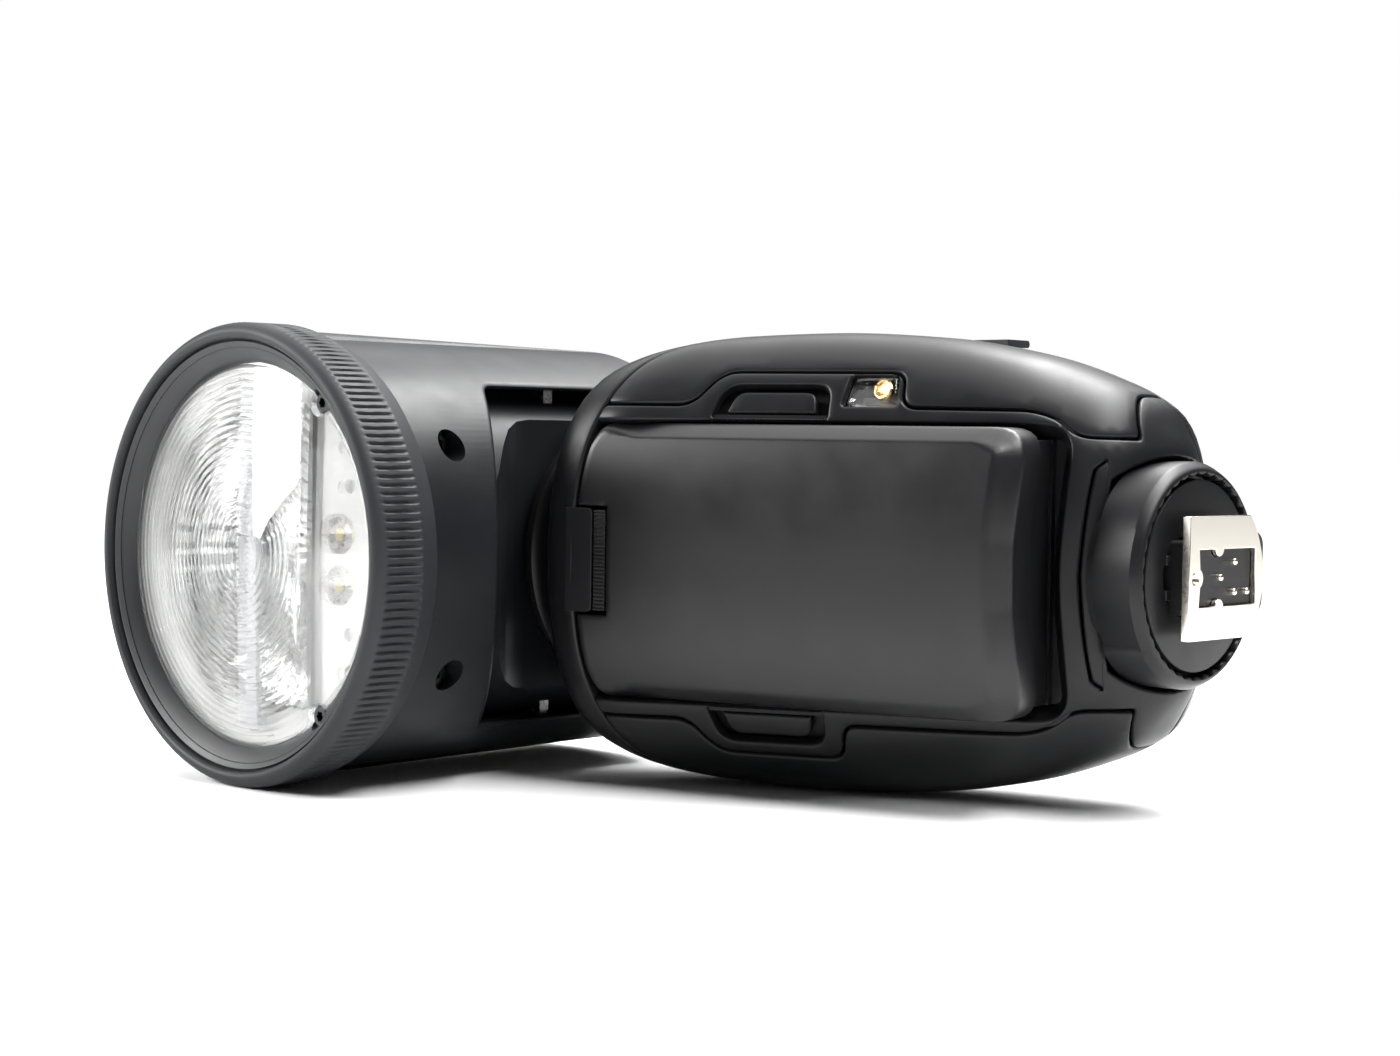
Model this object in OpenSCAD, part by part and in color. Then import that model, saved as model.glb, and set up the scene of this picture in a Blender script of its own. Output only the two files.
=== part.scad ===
// Round-headed speedlight flash, lying on its side.
// Design frame: x = 0 at the shoe plate's inner face, -x toward the head,
// -y forward (lens side), z = 0 in the plane of symmetry.

/* [Overall] */
// Height of the flash from shoe plate to the top of the zoom ring
flash_h = 166.4; // [165.9:0.1:166.9]
// Distance from the swivel axis of the foot to the front lip of the head
lip_y = 88.5; // [88:0.25:89]
// Reach of the lock ring's thumb tab behind the foot axis
tab_y = 19.5; // [19.2:0.1:19.8]

/* [Head] */
// Radius of the zoom ring, the widest part of the head
ring_r = 37.5; // [37.4:0.05:37.6]
// Radius of the head casing
casing_r = 35.5; // [35.3:0.05:35.6]
// Wall thickness of the head shells
head_wall = 1.8; // [1.6:0.1:1.9]
// Forward distance of the casing's rear end
casing_back = 8; // [7.8:0.1:8.4]
// Forward distance of the casing's front end
casing_front = 75.2; // [75:0.1:75.4]
// Half width of the cut-out between the cheeks
cheek_z = 27.7; // [27.5:0.1:27.9]
// Radius of the lens
lens_r = 31.6; // [31.5:0.05:31.7]
// Zoom travel of the reflector
zoom_travel = 8; // [6:0.5:8]

/* [Joints] */
// Forward distance of the swivel and tilt axes
turret_f = 22; // [21.8:0.1:22.2]
// Distance of the tilt axis below the head axis, toward the foot
tilt_x = 5.5; // [5.4:0.1:5.6]
// Radius of the turret disc
turret_r = 24; // [23.5:0.1:24.2]
// Radius of the tilt axle
axle_r = 3; // [2.8:0.1:3]
// Radial running clearance
fit = 0.05; // [0.03:0.01:0.08]

/* [Body] */
// Exponent of the body's rounded cross-section
roundness = 2.6; // [2.4:0.1:2.8]
// Wall thickness of the body covers
wall = 2; // [1.8:0.1:2.2]
// Gap between neighbouring covers
seam = 0.3; // [0.2:0.05:0.4]

/* [Battery] */
// Half width of the battery's front face
bat_face = 20.2; // [20:0.1:20.4]
// Depth of the battery
bat_depth = 20; // [19.5:0.1:20]
// Length of the battery's front face
bat_len = 72.9; // [72.5:0.1:73]

/* [Foot] */
// Width of the shoe plate
shoe_w = 18.6; // [18.4:0.05:18.65]
// Thickness of the shoe plate
shoe_t = 1.4; // [1.3:0.05:1.45]
// Outer radius of the lock ring
lock_r = 17.4; // [17.2:0.05:17.5]

/* [Hidden] */
$fn = 96;
e = 0.01;
shoe_face = 1.4;
head_x = ring_r + shoe_face - flash_h;
tilt_dev = head_x + tilt_x;
swivel_y = -turret_f;
turret_x0 = -104.6;
turret_x1 = -101.4;
seam_x = -89.6;
seam_y = -48.6;
seam_tilt = 20.8;
crown_lap = 7;
bat_slant = 14.4;
split_slope = 0.35;
lens_f = 83;
charcoal = [0.16, 0.165, 0.18];
rubber = [0.2, 0.205, 0.225];
black = [0.08, 0.08, 0.09];
steel = [0.75, 0.74, 0.72];
nickel = [0.85, 0.82, 0.76];
glass = [0.9, 0.93, 0.95, 0.5];
white = [0.93, 0.93, 0.92];
green = [0.1, 0.3, 0.2];
copper = [0.75, 0.5, 0.25];

// Stations of the body: x, front y, back y, half width
stations = [
    [-101, -39, -14.5, 17], [-98, -46, -8.5, 26.5], [-93, -48.8, -3, 32.4],
    [-86, -48, 0.5, 35], [-75, -42, 5, 36.9], [-60, -35, 9, 37.4],
    [-45, -28.5, 12.8, 36.6], [-30, -23, 16, 34], [-20, -17.8, 17.7, 30.6],
    [-12, -12.5, 17, 26.3], [-9, -8.5, 13, 21.5]];

// ---- frames ----
module device() translate([flash_h / 2 - shoe_face, (lip_y - tab_y) / 2, ring_r]) children();
// local z runs forward along the head's axis, local x toward the foot, local y up
module head_axis() device() translate([head_x, 0, 0]) rotate([90, 0, 0]) children();
// local z runs along +x toward the foot, local y back
module foot_axis() device() rotate([0, 90, 0]) children();
module swivel_axis() device() translate([0, swivel_y, 0]) rotate([0, 90, 0]) children();
// local x runs down the battery's front face, local y goes inward
module battery_plane() translate([seam_x, seam_y, 0]) rotate([0, 0, bat_slant]) children();

// ---- body form ----
function power(v, p) = sign(v) * pow(abs(v), p);
module slice(s, g) {
    hy = (s[2] - s[1]) / 2 - g;
    hz = s[3] - g;
    translate([s[0], (s[1] + s[2]) / 2, 0]) rotate([90, 0, 90])
        linear_extrude(e)
            polygon([for (a = [0:9:351]) [hy * power(cos(a), 2 / roundness), hz * power(sin(a), 2 / roundness)]]);
}
module body_form(g = 0)
    intersection() {
        for (i = [0:len(stations) - 2]) hull() {
            slice(stations[i], g);
            slice(stations[i + 1], g);
        }
        translate([-101 + g, -80, -60]) cube([92 - 2 * g, 140, 120]);
    }
module body_shell() difference() {
    body_form(0);
    body_form(wall);
}
// everything on the head side of the crown seam
module crown_side(g = 0)
    translate([seam_x, seam_y, 0]) rotate([0, 0, -seam_tilt])
        translate([-60 + g, -60, -60]) cube([60, 160, 120]);
// the crown's share of the body: the head side of its seam, short of the rear housing
module crown_region(g = 0)
    difference() {
        crown_side(g);
        intersection() {
            rear_side(g);
            battery_plane() translate([crown_lap + g, -20, -60]) cube([100, 120, 120]);
        }
    }
// everything behind the side seam
module rear_side(g = 0)
    translate([-93, -22 + g, 0]) rotate([0, 0, atan(split_slope)])
        translate([-40, 0, -60]) cube([160, 80, 120]);
// outline of a side cover seen along y
module cover_outline(g, window)
    offset(delta = -g)
        polygon(concat(
            [[-110, 25.2], [-73.8, 25.2], [-70.2, 31], [-51.5, 31]],
            window ? [[-51.5, 31], [-43.5, 31], [-42, 25]] : [[-50, 25]],
            [[-23.4, 25], [-20, 23.7], [-16.5, 20.8], [-9.6, 20.8], [-12.6, 27], [-14, 60], [-110, 60]]));
module cover_region(g, window)
    difference() {
        translate([0, 60, 0]) rotate([90, 0, 0]) linear_extrude(160) cover_outline(g, window);
        crown_side(g);
        rear_side(-g);
    }
module ring_recess() translate([-11.5, 0, 0]) rotate([0, 90, 0]) cylinder(r = lock_r + 0.5, h = 20);
module neck_block(g = 0)
    translate([-15.5 - g, -14.8 - g, -17.3 - g]) cube([4.2 + 2 * g, 24 + 2 * g, 34.6 + 2 * g]);
// space that the battery and its bay take up
module bay_space(g = 0) battery_plane() {
    translate([-2 - g, -12, -22.4 - g]) cube([81.4 + 2 * g, 12 + 13.4 + g, 44.8 + 2 * g]);
    translate([5 - g, 0, -20.9 - g]) cube([72 + 2 * g, 22.3 + g, 41.8 + 2 * g]);
}

// ---- head ----
module casing(r, back, front, edge)
    rotate_extrude()
        polygon([[0, back], [r - edge, back], [r, back + edge], [r, front], [0, front]]);
// clearance for the body's crown and for the turret, in head_axis coordinates
module pocket(g = 0)
    intersection() {
        translate([-20, -cheek_z - g, -30]) cube([80, 2 * (cheek_z + g), 100]);
        translate([-20, 0, 11.8]) rotate([0, 90, 0]) cylinder(r = 50 + g, h = 80);
        union() {
            translate([24.5 - g, -40, -30]) cube([60, 80, 120]);
            translate([21.5 - g, -40, -30]) cube([60, 80, 78 + g]);
            difference() {
                translate([tilt_x, -40, -30]) cube([60, 80, 30 + turret_f]);
                translate([tilt_x, 0, turret_f]) rotate([90, 0, 0])
                    cylinder(r = 16 - g, h = 90, center = true);
            }
        }
    }
// slot in which the turret's column swings
module column_slot(g = 0)
    translate([tilt_x - 10.8 - g, -13.6 - g, -30]) cube([60, 27.2 + 2 * g, 30 + turret_f + 10.8 + g]);
module head_solid(x0, x1)
    difference() {
        intersection() {
            casing(casing_r, casing_back, casing_front, 5);
            translate([x0, -50, 0]) cube([x1 - x0, 100, 100]);
        }
        difference() {
            casing(casing_r - head_wall, casing_back + head_wall, casing_front + 1, 4);
            pocket(head_wall);
            column_slot(head_wall);
        }
        pocket();
        column_slot();
        translate([tilt_x, 0, turret_f]) rotate([90, 0, 0]) cylinder(r = 5, h = 40, center = true);
    }
parting_x = 4.5;
screw_z = 18.2;
screw_f = 68;
screw_x = 30.3;
module head_upper_shell() color(charcoal) head_axis() head_solid(-40, parting_x - 0.1);
module head_lower_shell() color(charcoal) head_axis()
    difference() {
        union() {
            head_solid(parting_x + 0.1, 40);
            intersection() {
                for (s = [-1, 1]) translate([24, s * screw_z, screw_f]) rotate([0, 90, 0]) cylinder(r = 4, h = 12);
                cylinder(r = casing_r - 0.5, h = 100);
            }
        }
        for (s = [-1, 1]) translate([25.5, s * screw_z, screw_f]) rotate([0, 90, 0]) cylinder(r = 3, h = 20);
    }
module head_screws() color(steel) head_axis()
    for (s = [-1, 1]) translate([25.5, s * screw_z, screw_f]) rotate([0, 90, 0]) difference() {
        cylinder(r = 2.4, h = 1.6);
        translate([0, 0, 0.8]) cylinder(r = 1.1, h = 2, $fn = 6);
    }
module zoom_ring_core() color(black) head_axis()
    rotate_extrude()
        polygon([[33.45, 75.6], [35.2, 75.6], [35.2, 86.8], [33.45, 86.8]]);
module zoom_ring_grip() color(rubber) head_axis()
    rotate_extrude()
        polygon([[35.2, 75.6], [36.1, 75.4], [37.3, 78.6], [ring_r, 79], [ring_r, 86.6], [36.9, 88],
                 [36, lip_y], [34.6, lip_y], [33.6, 87.6], [33.6, 86.8], [35.2, 86.8]]);
module lens_bezel() color(black) head_axis()
    difference() {
        rotate_extrude()
            polygon([[33.6, 72.5], [33.6, 75.4], [33.4, 75.4], [33.4, 87.2], [lens_r + 0.15, 86],
                     [lens_r + 0.15, lens_f - 0.1], [29.6, lens_f - 0.1], [29.6, 81.9],
                     [31.6, 80.4], [31.6, 72.5]]);
        for (s = [-1, 1]) translate([19.3, s * 24.2, 80]) {
            cylinder(r = 0.8 + fit, h = 10);
            translate([0, 0, lens_f - 80.05]) cylinder(r = 1.9, h = 10);
        }
    }
module fresnel_lens() color(glass) head_axis()
    difference() {
        rotate_extrude()
            polygon([[0, lens_f], [lens_r, lens_f], [lens_r, 85], [26, 86], [14, 86.7], [0, 87]]);
        for (s = [-1, 1]) translate([19.3, s * 24.2, 80]) cylinder(r = 2.1, h = 10);
    }
module lens_screws() color(black) head_axis()
    for (s = [-1, 1]) translate([19.3, s * 24.2, 0]) difference() {
        union() {
            translate([0, 0, 81.95]) cylinder(r = 0.8, h = 2);
            translate([0, 0, lens_f]) cylinder(r = 1.8, h = 1.6);
        }
        translate([0, 0, lens_f + 0.8]) cylinder(r = 0.9, h = 2, $fn = 6);
    }
led_y = 4;
led_x = 20.5;
module led_outline(g)
    intersection() {
        circle(r = 29.3 - g);
        translate([14.5 + g, -14 + g]) square([20, 28 - 2 * g]);
    }
module led_insert() color(white) head_axis()
    difference() {
        translate([0, 0, 78.4]) linear_extrude(3.2) led_outline(0);
        for (s = [-1, 1]) translate([led_x, s * led_y, 78.3])
            rotate_extrude() polygon([[0, 0], [1.3, 0], [3.4, 3.6], [0, 3.6]]);
    }
module led_board() color(green) head_axis() {
    translate([0, 0, 77]) linear_extrude(1) led_outline(0.5);
    for (s = [-1, 1]) translate([led_x, s * led_y, 78]) cylinder(r = 1.1, h = 1.2);
}
refl_f = 60.5;
function refl_r(t) = 7 + 18 * pow(t, 0.6);
module reflector() color(white) head_axis()
    difference() {
        rotate_extrude()
            polygon(concat([for (i = [0:8]) [refl_r(i / 8), refl_f + 2 * i]],
                           [for (i = [8:-1:0]) [refl_r(i / 8) - 0.8, refl_f + 2 * i]]));
        translate([0, 0, tube_f]) rotate([90, 0, 0]) cylinder(r = 2.5, h = 60, center = true);
    }
tube_f = 67.5;
rod_x = -18;
rod_z = 24;
screw_line = -27.5;
module zoom_carriage() color(black) head_axis()
    difference() {
        union() {
            translate([0, 0, refl_f - 3]) cylinder(r = 8.5, h = 3);
            translate([rod_x - 1.5, -rod_z, refl_f - 3]) cube([3, 2 * rod_z, 3]);
            translate([rod_x, -23.5, refl_f - 3]) cube([18, 2.5, 3]);
            translate([rod_x, 21, refl_f - 3]) cube([18, 2.5, 3]);
            translate([screw_line, -3, refl_f - 3]) cube([26, 6, 3]);
            for (s = [-1, 1]) {
                translate([rod_x, s * rod_z, refl_f - 5.5]) cylinder(r = 2.7, h = 5.5);
                translate([-3, s * 22.2 - 1.2, refl_f - 3]) cube([6, 2.4, 12.4]);
            }
            translate([screw_line, 0, refl_f - 5.5]) cylinder(r = 3, h = 5.5);
        }
        for (s = [-1, 1]) translate([rod_x, s * rod_z, refl_f - 10]) cylinder(r = 1.5 + fit, h = 20);
        translate([screw_line, 0, refl_f - 10]) cylinder(r = 1.2 + fit, h = 20);
        translate([0, 0, tube_f]) rotate([90, 0, 0]) cylinder(r = 2.2 + fit, h = 60, center = true);
    }
module flash_tube() color(glass) head_axis() translate([0, 0, tube_f]) rotate([90, 0, 0]) {
    cylinder(r = 2.2, h = 44, center = true);
    for (s = [-1, 1]) translate([0, 0, s * 23]) cylinder(r = 1.4, h = 2, center = true);
}
module guide_rods() color(steel) head_axis()
    for (s = [-1, 1]) translate([rod_x, s * rod_z, 34.8]) cylinder(r = 1.5, h = 36);
module zoom_motor() color(steel) head_axis() translate([screw_line + 0.5, 0, 0]) {
    translate([0, 0, 20]) cylinder(r = 5, h = 14.7);
}
module zoom_screw() color(steel) head_axis() translate([screw_line, 0, 34.8]) cylinder(r = 1.2, h = 36);
module hinge_frame() color(steel) head_axis()
    difference() {
        union() {
            intersection() {
                translate([-31, -28, 34.8]) cube([49, 56, 2]);
                cylinder(r = 33.3, h = 60);
            }
            for (s = [-1, 1]) translate([0, s * 17.3, 0]) rotate([90, 0, 0]) {
                translate([tilt_x, turret_f, -1.5]) cylinder(r = 12, h = 3);
                translate([tilt_x - 12, turret_f, -1.5]) cube([24, 13, 3]);
            }
        }
        for (s = [-1, 1]) translate([rod_x, s * rod_z, 30]) cylinder(r = 1.5, h = 10);
        translate([screw_line, 0, 30]) cylinder(r = 1.2 + fit, h = 10);
        translate([tilt_x, 0, turret_f]) rotate([90, 0, 0]) cylinder(r = 4.6, h = 60, center = true);
    }
module tilt_bushes() color(copper) head_axis()
    for (s = [-1, 1]) translate([tilt_x, s * 16.6, turret_f]) rotate([90, 0, 0]) difference() {
        union() {
            cylinder(r = 4.6, h = 4.4, center = true);
            translate([0, 0, s > 0 ? -3.2 : 2.2]) cylinder(r = 6, h = 1);
        }
        cylinder(r = axle_r + fit, h = 20, center = true);
    }
module trigger_coil() color(copper) head_axis() {
    translate([-20, 11, 14]) cylinder(r = 5, h = 12);
    translate([-26.5, 4, 12.8 - e]) cube([13, 13.5, 1.2 + 2 * e]);
}

// ---- turret ----
module turret() color(charcoal) {
    difference() {
        union() {
            swivel_axis() translate([0, 0, turret_x0]) cylinder(r = turret_r, h = turret_x1 - turret_x0);
            swivel_axis() translate([0, 0, turret_x1 - e]) cylinder(r = 8, h = 8.5);
            device() translate([tilt_dev, swivel_y - 9.8, -13]) cube([turret_x0 - tilt_dev + 1, 19.6, 26]);
            device() translate([tilt_dev, swivel_y, 0]) cylinder(r = 9.8, h = 26, center = true);
        }
        device() translate([tilt_dev, swivel_y, 0]) cylinder(r = axle_r, h = 40, center = true);
        swivel_axis() translate([0, 0, turret_x0 - 8]) cylinder(r = 6, h = 40);
    }
}
module tilt_axle() color(steel) device() translate([tilt_dev, swivel_y, 0]) cylinder(r = axle_r, h = 39, center = true);
module swivel_bearing() color(copper) swivel_axis() translate([0, 0, -98.8]) difference() {
    cylinder(r = 9.6, h = 2.6);
    translate([0, 0, -1]) cylinder(r = 8 + fit, h = 5);
}
module swivel_nut() color(steel) swivel_axis() translate([0, 0, -96]) difference() {
    cylinder(r = 10.5, h = 2);
    translate([0, 0, -1]) cylinder(r = 8 + fit, h = 5);
}

// ---- body covers ----
tab_half = 8.4;
module crown_cap() color(charcoal) device()
    difference() {
        union() {
            intersection() {
                body_shell();
                crown_region(-seam / 2);
            }
            intersection() {
                battery_plane() translate([-2, 0.2, -tab_half]) cube([5.6, 1.4, 2 * tab_half]);
                translate([-110, -60, -40]) cube([60, 80, 80]);
            }
        }
        translate([-110, swivel_y, 0]) rotate([0, 90, 0]) cylinder(r = 8.6, h = 30);
    }
module front_housing() color(charcoal) device()
    difference() {
        body_shell();
        crown_side(seam / 2);
        rear_side(-seam / 2);
        cover_region(0, true);
        mirror([0, 0, 1]) cover_region(0, false);
        bay_space(0.3);
        ring_recess();
        neck_block(0.1);
        for (s = [-1, 1]) recess_cut(s);
        window_cut();
    }
// finger recesses beside the battery, which hold the release buttons
module recess_cut(s, g = 0)
    translate([-70.5 - g, -40, s > 0 ? 22.8 : -29]) cube([18 + 2 * g, 20, 6.2]);
module window_cut() translate([-51.4, -40, 25]) cube([7.9, 22, 6.4]);
module rear_housing() color(charcoal) device()
    difference() {
        intersection() {
            body_shell();
            rear_side(seam / 2);
        }
        crown_region(seam / 2);
        ring_recess();
        neck_block(0.1);
        battery_plane() {
            translate([13, 40, -19.6]) cube([32.2, 16, 39.2]);
            translate([dial_x, 40, 0]) rotate([-90, 0, 0]) cylinder(r = 9.8, h = 12);
            for (p = key_places) translate([p[0], 40, p[1]]) rotate([-90, 0, 0]) cylinder(r = key_r + 0.35, h = 12);
            translate([71.6, 40, -4.4]) cube([4.4, 12, 8.8]);
        }
        translate([port_x - 0.3, port_y - 0.3, 34]) cube([12.6, 6.6, 6]);
        for (p = screw_places) battery_plane() translate([p[0], 30, p[1]]) rotate([-90, 0, 0]) cylinder(r = 2, h = 30);
    }
module upper_cover() color(charcoal) device()
    difference() {
        intersection() {
            body_shell();
            cover_region(seam, true);
        }
        recess_cut(1, 0.2);
        window_cut();
    }
module lower_cover() color(charcoal) device()
    intersection() {
        body_shell();
        mirror([0, 0, 1]) cover_region(seam, false);
    }
module release_button(s)
    battery_plane() translate([24.5, 10.6, s > 0 ? 24.2 : -28.2]) cube([12.5, 4.6, 4]);
module upper_release() color(charcoal) device() release_button(1);
module lower_release() color(charcoal) device() release_button(-1);
module sensor_window() color(glass) device() battery_plane()
    translate([42.8, 11, 25.4]) cube([6.2, 1.6, 5.6]);
module sensor_lamp() color("orange") device() battery_plane()
    translate([45.9, 13.2, 28.2]) rotate([-90, 0, 0]) cylinder(r = 1.8, h = 5);

// ---- inside the body ----
module battery_bay() color(black) device() battery_plane()
    difference() {
        translate([17, 20.2, -22]) cube([60, 2, 44]);
        for (s = [-1, 1]) translate([24, 18, s * 8 - 2]) cube([5, 6, 4]);
    }
module bay_contacts() color(nickel) device() battery_plane()
    for (s = [-1, 1]) translate([24.2, 20.6, s * 8 - 1.8]) cube([4.6, 1.2, 3.6]);
module main_capacitor() color(black) device() battery_plane()
    translate([20, 31.6, 17]) rotate([0, 90, 0]) cylinder(r = 8.6, h = 42);
module driver_board() color(green) device() battery_plane() {
    translate([18, 24, -30]) cube([48, 1.2, 34]);
    translate([24, 25.2, -24]) cube([14, 5, 12]);
    translate([44, 25.2, -26]) cube([10, 8, 10]);
}
module main_board() color(green) device() battery_plane() {
    translate([18, 37, -26]) cube([52, 1.2, 33]);
    translate([28, 35.4, -10]) cube([12, 1.6, 12]);
}
module display_module() color(black) device() battery_plane()
    translate([15, 41.4, -17]) cube([28, 3.4, 34]);
module display_window() color(black) device() battery_plane()
    translate([13.4, 45.5, -19.2]) cube([31.4, 1.6, 38.4]);
module control_dial() color(black) device() battery_plane()
    translate([dial_x, 0, 0]) rotate([-90, 0, 0]) difference() {
        translate([0, 0, 43.6]) cylinder(r = 9.4, h = 5.4);
        translate([0, 0, 43]) cylinder(r = 5.2, h = 8);
    }
module dial_button() color(charcoal) device() battery_plane()
    translate([dial_x, 0, 0]) rotate([-90, 0, 0]) translate([0, 0, 42.4]) cylinder(r = 4.8, h = 6.2);
dial_x = 58;
key_r = 2.8;
key_places = [[52.5, 17], [63.5, 17], [52.5, -17], [63.5, -17]];
module key(i) color(charcoal) device() battery_plane()
    translate([key_places[i][0], 0, key_places[i][1]]) rotate([-90, 0, 0])
        translate([0, 0, 41.2]) cylinder(r = key_r, h = 6.2);
module key_1() key(0);
module key_2() key(1);
module key_3() key(2);
module key_4() key(3);
module power_switch() color(charcoal) device() battery_plane()
    translate([72, 42.6, -4]) cube([3.6, 4.6, 4.4]);
port_x = -49;
port_y = -3;
module port_cover() color(rubber) device() {
    translate([port_x, port_y, 35.2]) cube([12, 5.6, 1.2]);
    translate([port_x, port_y + 5.4, 35.8]) rotate([0, 90, 0]) cylinder(r = 0.6, h = 12);
}
screw_places = [[8, 20], [8, -20], [76, 20], [76, -20]];
module rear_screws() color(steel) device() battery_plane()
    for (p = screw_places) translate([p[0], 33, p[1]]) rotate([-90, 0, 0]) difference() {
        cylinder(r = 1.6, h = 6);
        translate([0, 0, 5]) cylinder(r = 0.8, h = 2, $fn = 6);
    }

// ---- battery ----
module battery_block(g)
    difference() {
        hull() {
            translate([0.6 + g, g, g - bat_face]) cube([bat_len - 2 * g, e, 2 * (bat_face - g)]);
            translate([0.6 + g + 1.5, 2 + g * 0.7, g - bat_face - 2]) cube([bat_len + 3 - 2 * g, e, 2 * (bat_face + 2 - g)]);
            translate([0.6 + g + 9, 13, g - bat_face - 2]) cube([bat_len - 5 - 2 * g, e, 2 * (bat_face + 2 - g)]);
        }
        translate([0, 0, -30]) rotate([0, 0, -seam_tilt - bat_slant]) translate([-30 + 0.4 + g, -20, 0]) cube([30, 80, 60]);
    }
module battery_core(g)
    difference() {
        translate([5 + g, 7, g - 20.4]) cube([70 - 2 * g, bat_depth - 8.6, 2 * (20.4 - g)]);
        translate([0, 0, -30]) rotate([0, 0, -seam_tilt - bat_slant]) translate([-30 + 0.6 + g, -20, 0]) cube([30, 80, 60]);
    }
module battery_case() color(black) device() battery_plane()
    difference() {
        union() {
            battery_block(0);
            battery_core(0);
        }
        difference() {
            union() {
                battery_block(1.5);
                battery_core(1.5);
                translate([16, bat_depth - 3, -18.9]) cube([57, 4, 37.8]);
            }
            translate([0, 0, -10]) cube([9.4, 9, 20]);
        }
        translate([-2, -1, -tab_half - 0.3]) cube([6, 7.4, 2 * tab_half + 0.6]);
        translate([3.9, -1, -tab_half - 0.15]) cube([2.2, 4.4, 2 * tab_half + 0.3]);
    }
module battery_lid() color(black) device() battery_plane()
    difference() {
        translate([16.2, bat_depth - 1.5, -20.4]) cube([58.8, 1.5, 40.8]);
        for (s = [-1, 1]) translate([24, bat_depth - 3, s * 8 - 2]) cube([5, 6, 4]);
    }
module battery_cells() color([0.25, 0.4, 0.6]) device() battery_plane()
    for (s = [-1, 1]) translate([15.8, 9.9, s * 9]) rotate([0, 90, 0]) cylinder(r = 8, h = 55);
module battery_latch() color(charcoal) device() battery_plane()
    translate([4.1, -0.3, -tab_half + 0.05]) cube([1.8, 2.2, 2 * tab_half - 0.1]);

// ---- neck and foot ----
module neck_plate() color(charcoal) device()
    difference() {
        intersection() {
            neck_block();
            body_form(0.1);
        }
        translate([-30, 0, 0]) rotate([0, 90, 0]) cylinder(r = 8.3, h = 30);
    }
post_w = 11.2;
post_front = 8.2;
post_back = 9.3;
pin_places = [[0, 0], [4, 2.3], [4, -2.3], [7.6, -2.3]];
pin_r = 0.55;
lock_pin_y = -7.05;
lock_pin_r = 0.6;
disc_face = -2.75;
module foot_base() color(black) foot_axis()
    difference() {
        union() {
            translate([0, 0, -15.5]) cylinder(r = 8, h = 6);
            translate([0, 0, -11.2]) cylinder(r = 14.6, h = 6.2);
            translate([-post_w / 2, -post_front, -5.1]) cube([post_w, post_front + post_back, 5]);
        }
        for (p = pin_places) translate([-p[1], p[0], -8]) cylinder(r = pin_r + fit, h = 30);
        translate([0, lock_pin_y, -9]) cylinder(r = lock_pin_r + fit, h = 20);
    }
module lock_ring() color(charcoal) foot_axis()
    union() {
        rotate_extrude()
            polygon([[14.65, -11], [lock_r, -11], [lock_r, -3.5], [16.6, -2.4],
                     [15.4, -2.4], [15.4, -5], [14.65, -5]]);
        intersection() {
            translate([-6, 16.8, -8.6]) cube([12, tab_y - 16.8, 5.8]);
            translate([0, 0, -12]) cylinder(r = tab_y + 0.6, h = 12);
        }
    }
module stadium(w, y0, y1) {
    translate([-w / 2, y0 + w / 2]) square([w, y1 - y0 - w]);
    for (y = [y0 + w / 2, y1 - w / 2]) translate([0, y]) circle(d = w);
}
module pressure_disc() color(charcoal) foot_axis()
    difference() {
        translate([0, 0, disc_face - 1.2]) cylinder(r = 14.8, h = 1.2);
        translate([-6, -8.6, -8]) cube([12, 18.3, 10]);
        translate([0, 0, -8]) linear_extrude(10) stadium(9, -9.6, 10.4);
    }
module block_outline(g)
    difference() {
        translate([-4.2 - g, -6.4 - g]) square([8.4 + 2 * g, 15.7 + 2 * g]);
        for (s = [-1, 1]) translate([s * 4.4, -0.8]) circle(r = 1.3 - g);
        translate([0, -7.05]) circle(r = 1.9 - g);
    }
module shoe_plate() color(nickel) foot_axis()
    difference() {
        linear_extrude(shoe_t) intersection() {
            translate([-shoe_w / 2, -9.2]) square([shoe_w, 22]);
            translate([0, -1.2]) circle(r = 13);
        }
        translate([0, 0, -3]) linear_extrude(6) block_outline(0.05);
        translate([0, lock_pin_y, -3]) cylinder(r = 1.2, h = 6);
    }
module contact_block() color(black) foot_axis()
    difference() {
        translate([0, 0, 0]) linear_extrude(1) block_outline(0);
        for (p = pin_places) translate([-p[1], p[0], -5]) cylinder(r = pin_r + fit, h = 10);
    }
module contact_pins() color(nickel) foot_axis()
    for (p = pin_places) translate([-p[1], p[0], -6]) cylinder(r = pin_r, h = 6 + shoe_face);
module locking_pin() color(nickel) foot_axis()
    translate([0, lock_pin_y, -8]) cylinder(r = lock_pin_r, h = 8.8);

head_upper_shell();
head_lower_shell();
head_screws();
zoom_ring_core();
zoom_ring_grip();
lens_bezel();
fresnel_lens();
lens_screws();
led_insert();
led_board();
reflector();
zoom_carriage();
flash_tube();
guide_rods();
zoom_motor();
zoom_screw();
hinge_frame();
tilt_bushes();
trigger_coil();
turret();
tilt_axle();
swivel_bearing();
swivel_nut();
crown_cap();
front_housing();
rear_housing();
upper_cover();
lower_cover();
upper_release();
lower_release();
sensor_window();
sensor_lamp();
battery_bay();
main_capacitor();
driver_board();
main_board();
bay_contacts();
display_module();
display_window();
control_dial();
dial_button();
key_1();
key_2();
key_3();
key_4();
power_switch();
port_cover();
rear_screws();
battery_case();
battery_lid();
battery_cells();
battery_latch();
neck_plate();
foot_base();
lock_ring();
pressure_disc();
shoe_plate();
contact_block();
contact_pins();
locking_pin();
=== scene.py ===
"""Round-headed speedlight flash lying on its side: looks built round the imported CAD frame."""

import math

import bmesh
import bpy
import numpy as np
from mathutils import Matrix, Vector
from mathutils.geometry import delaunay_2d_cdt


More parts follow.
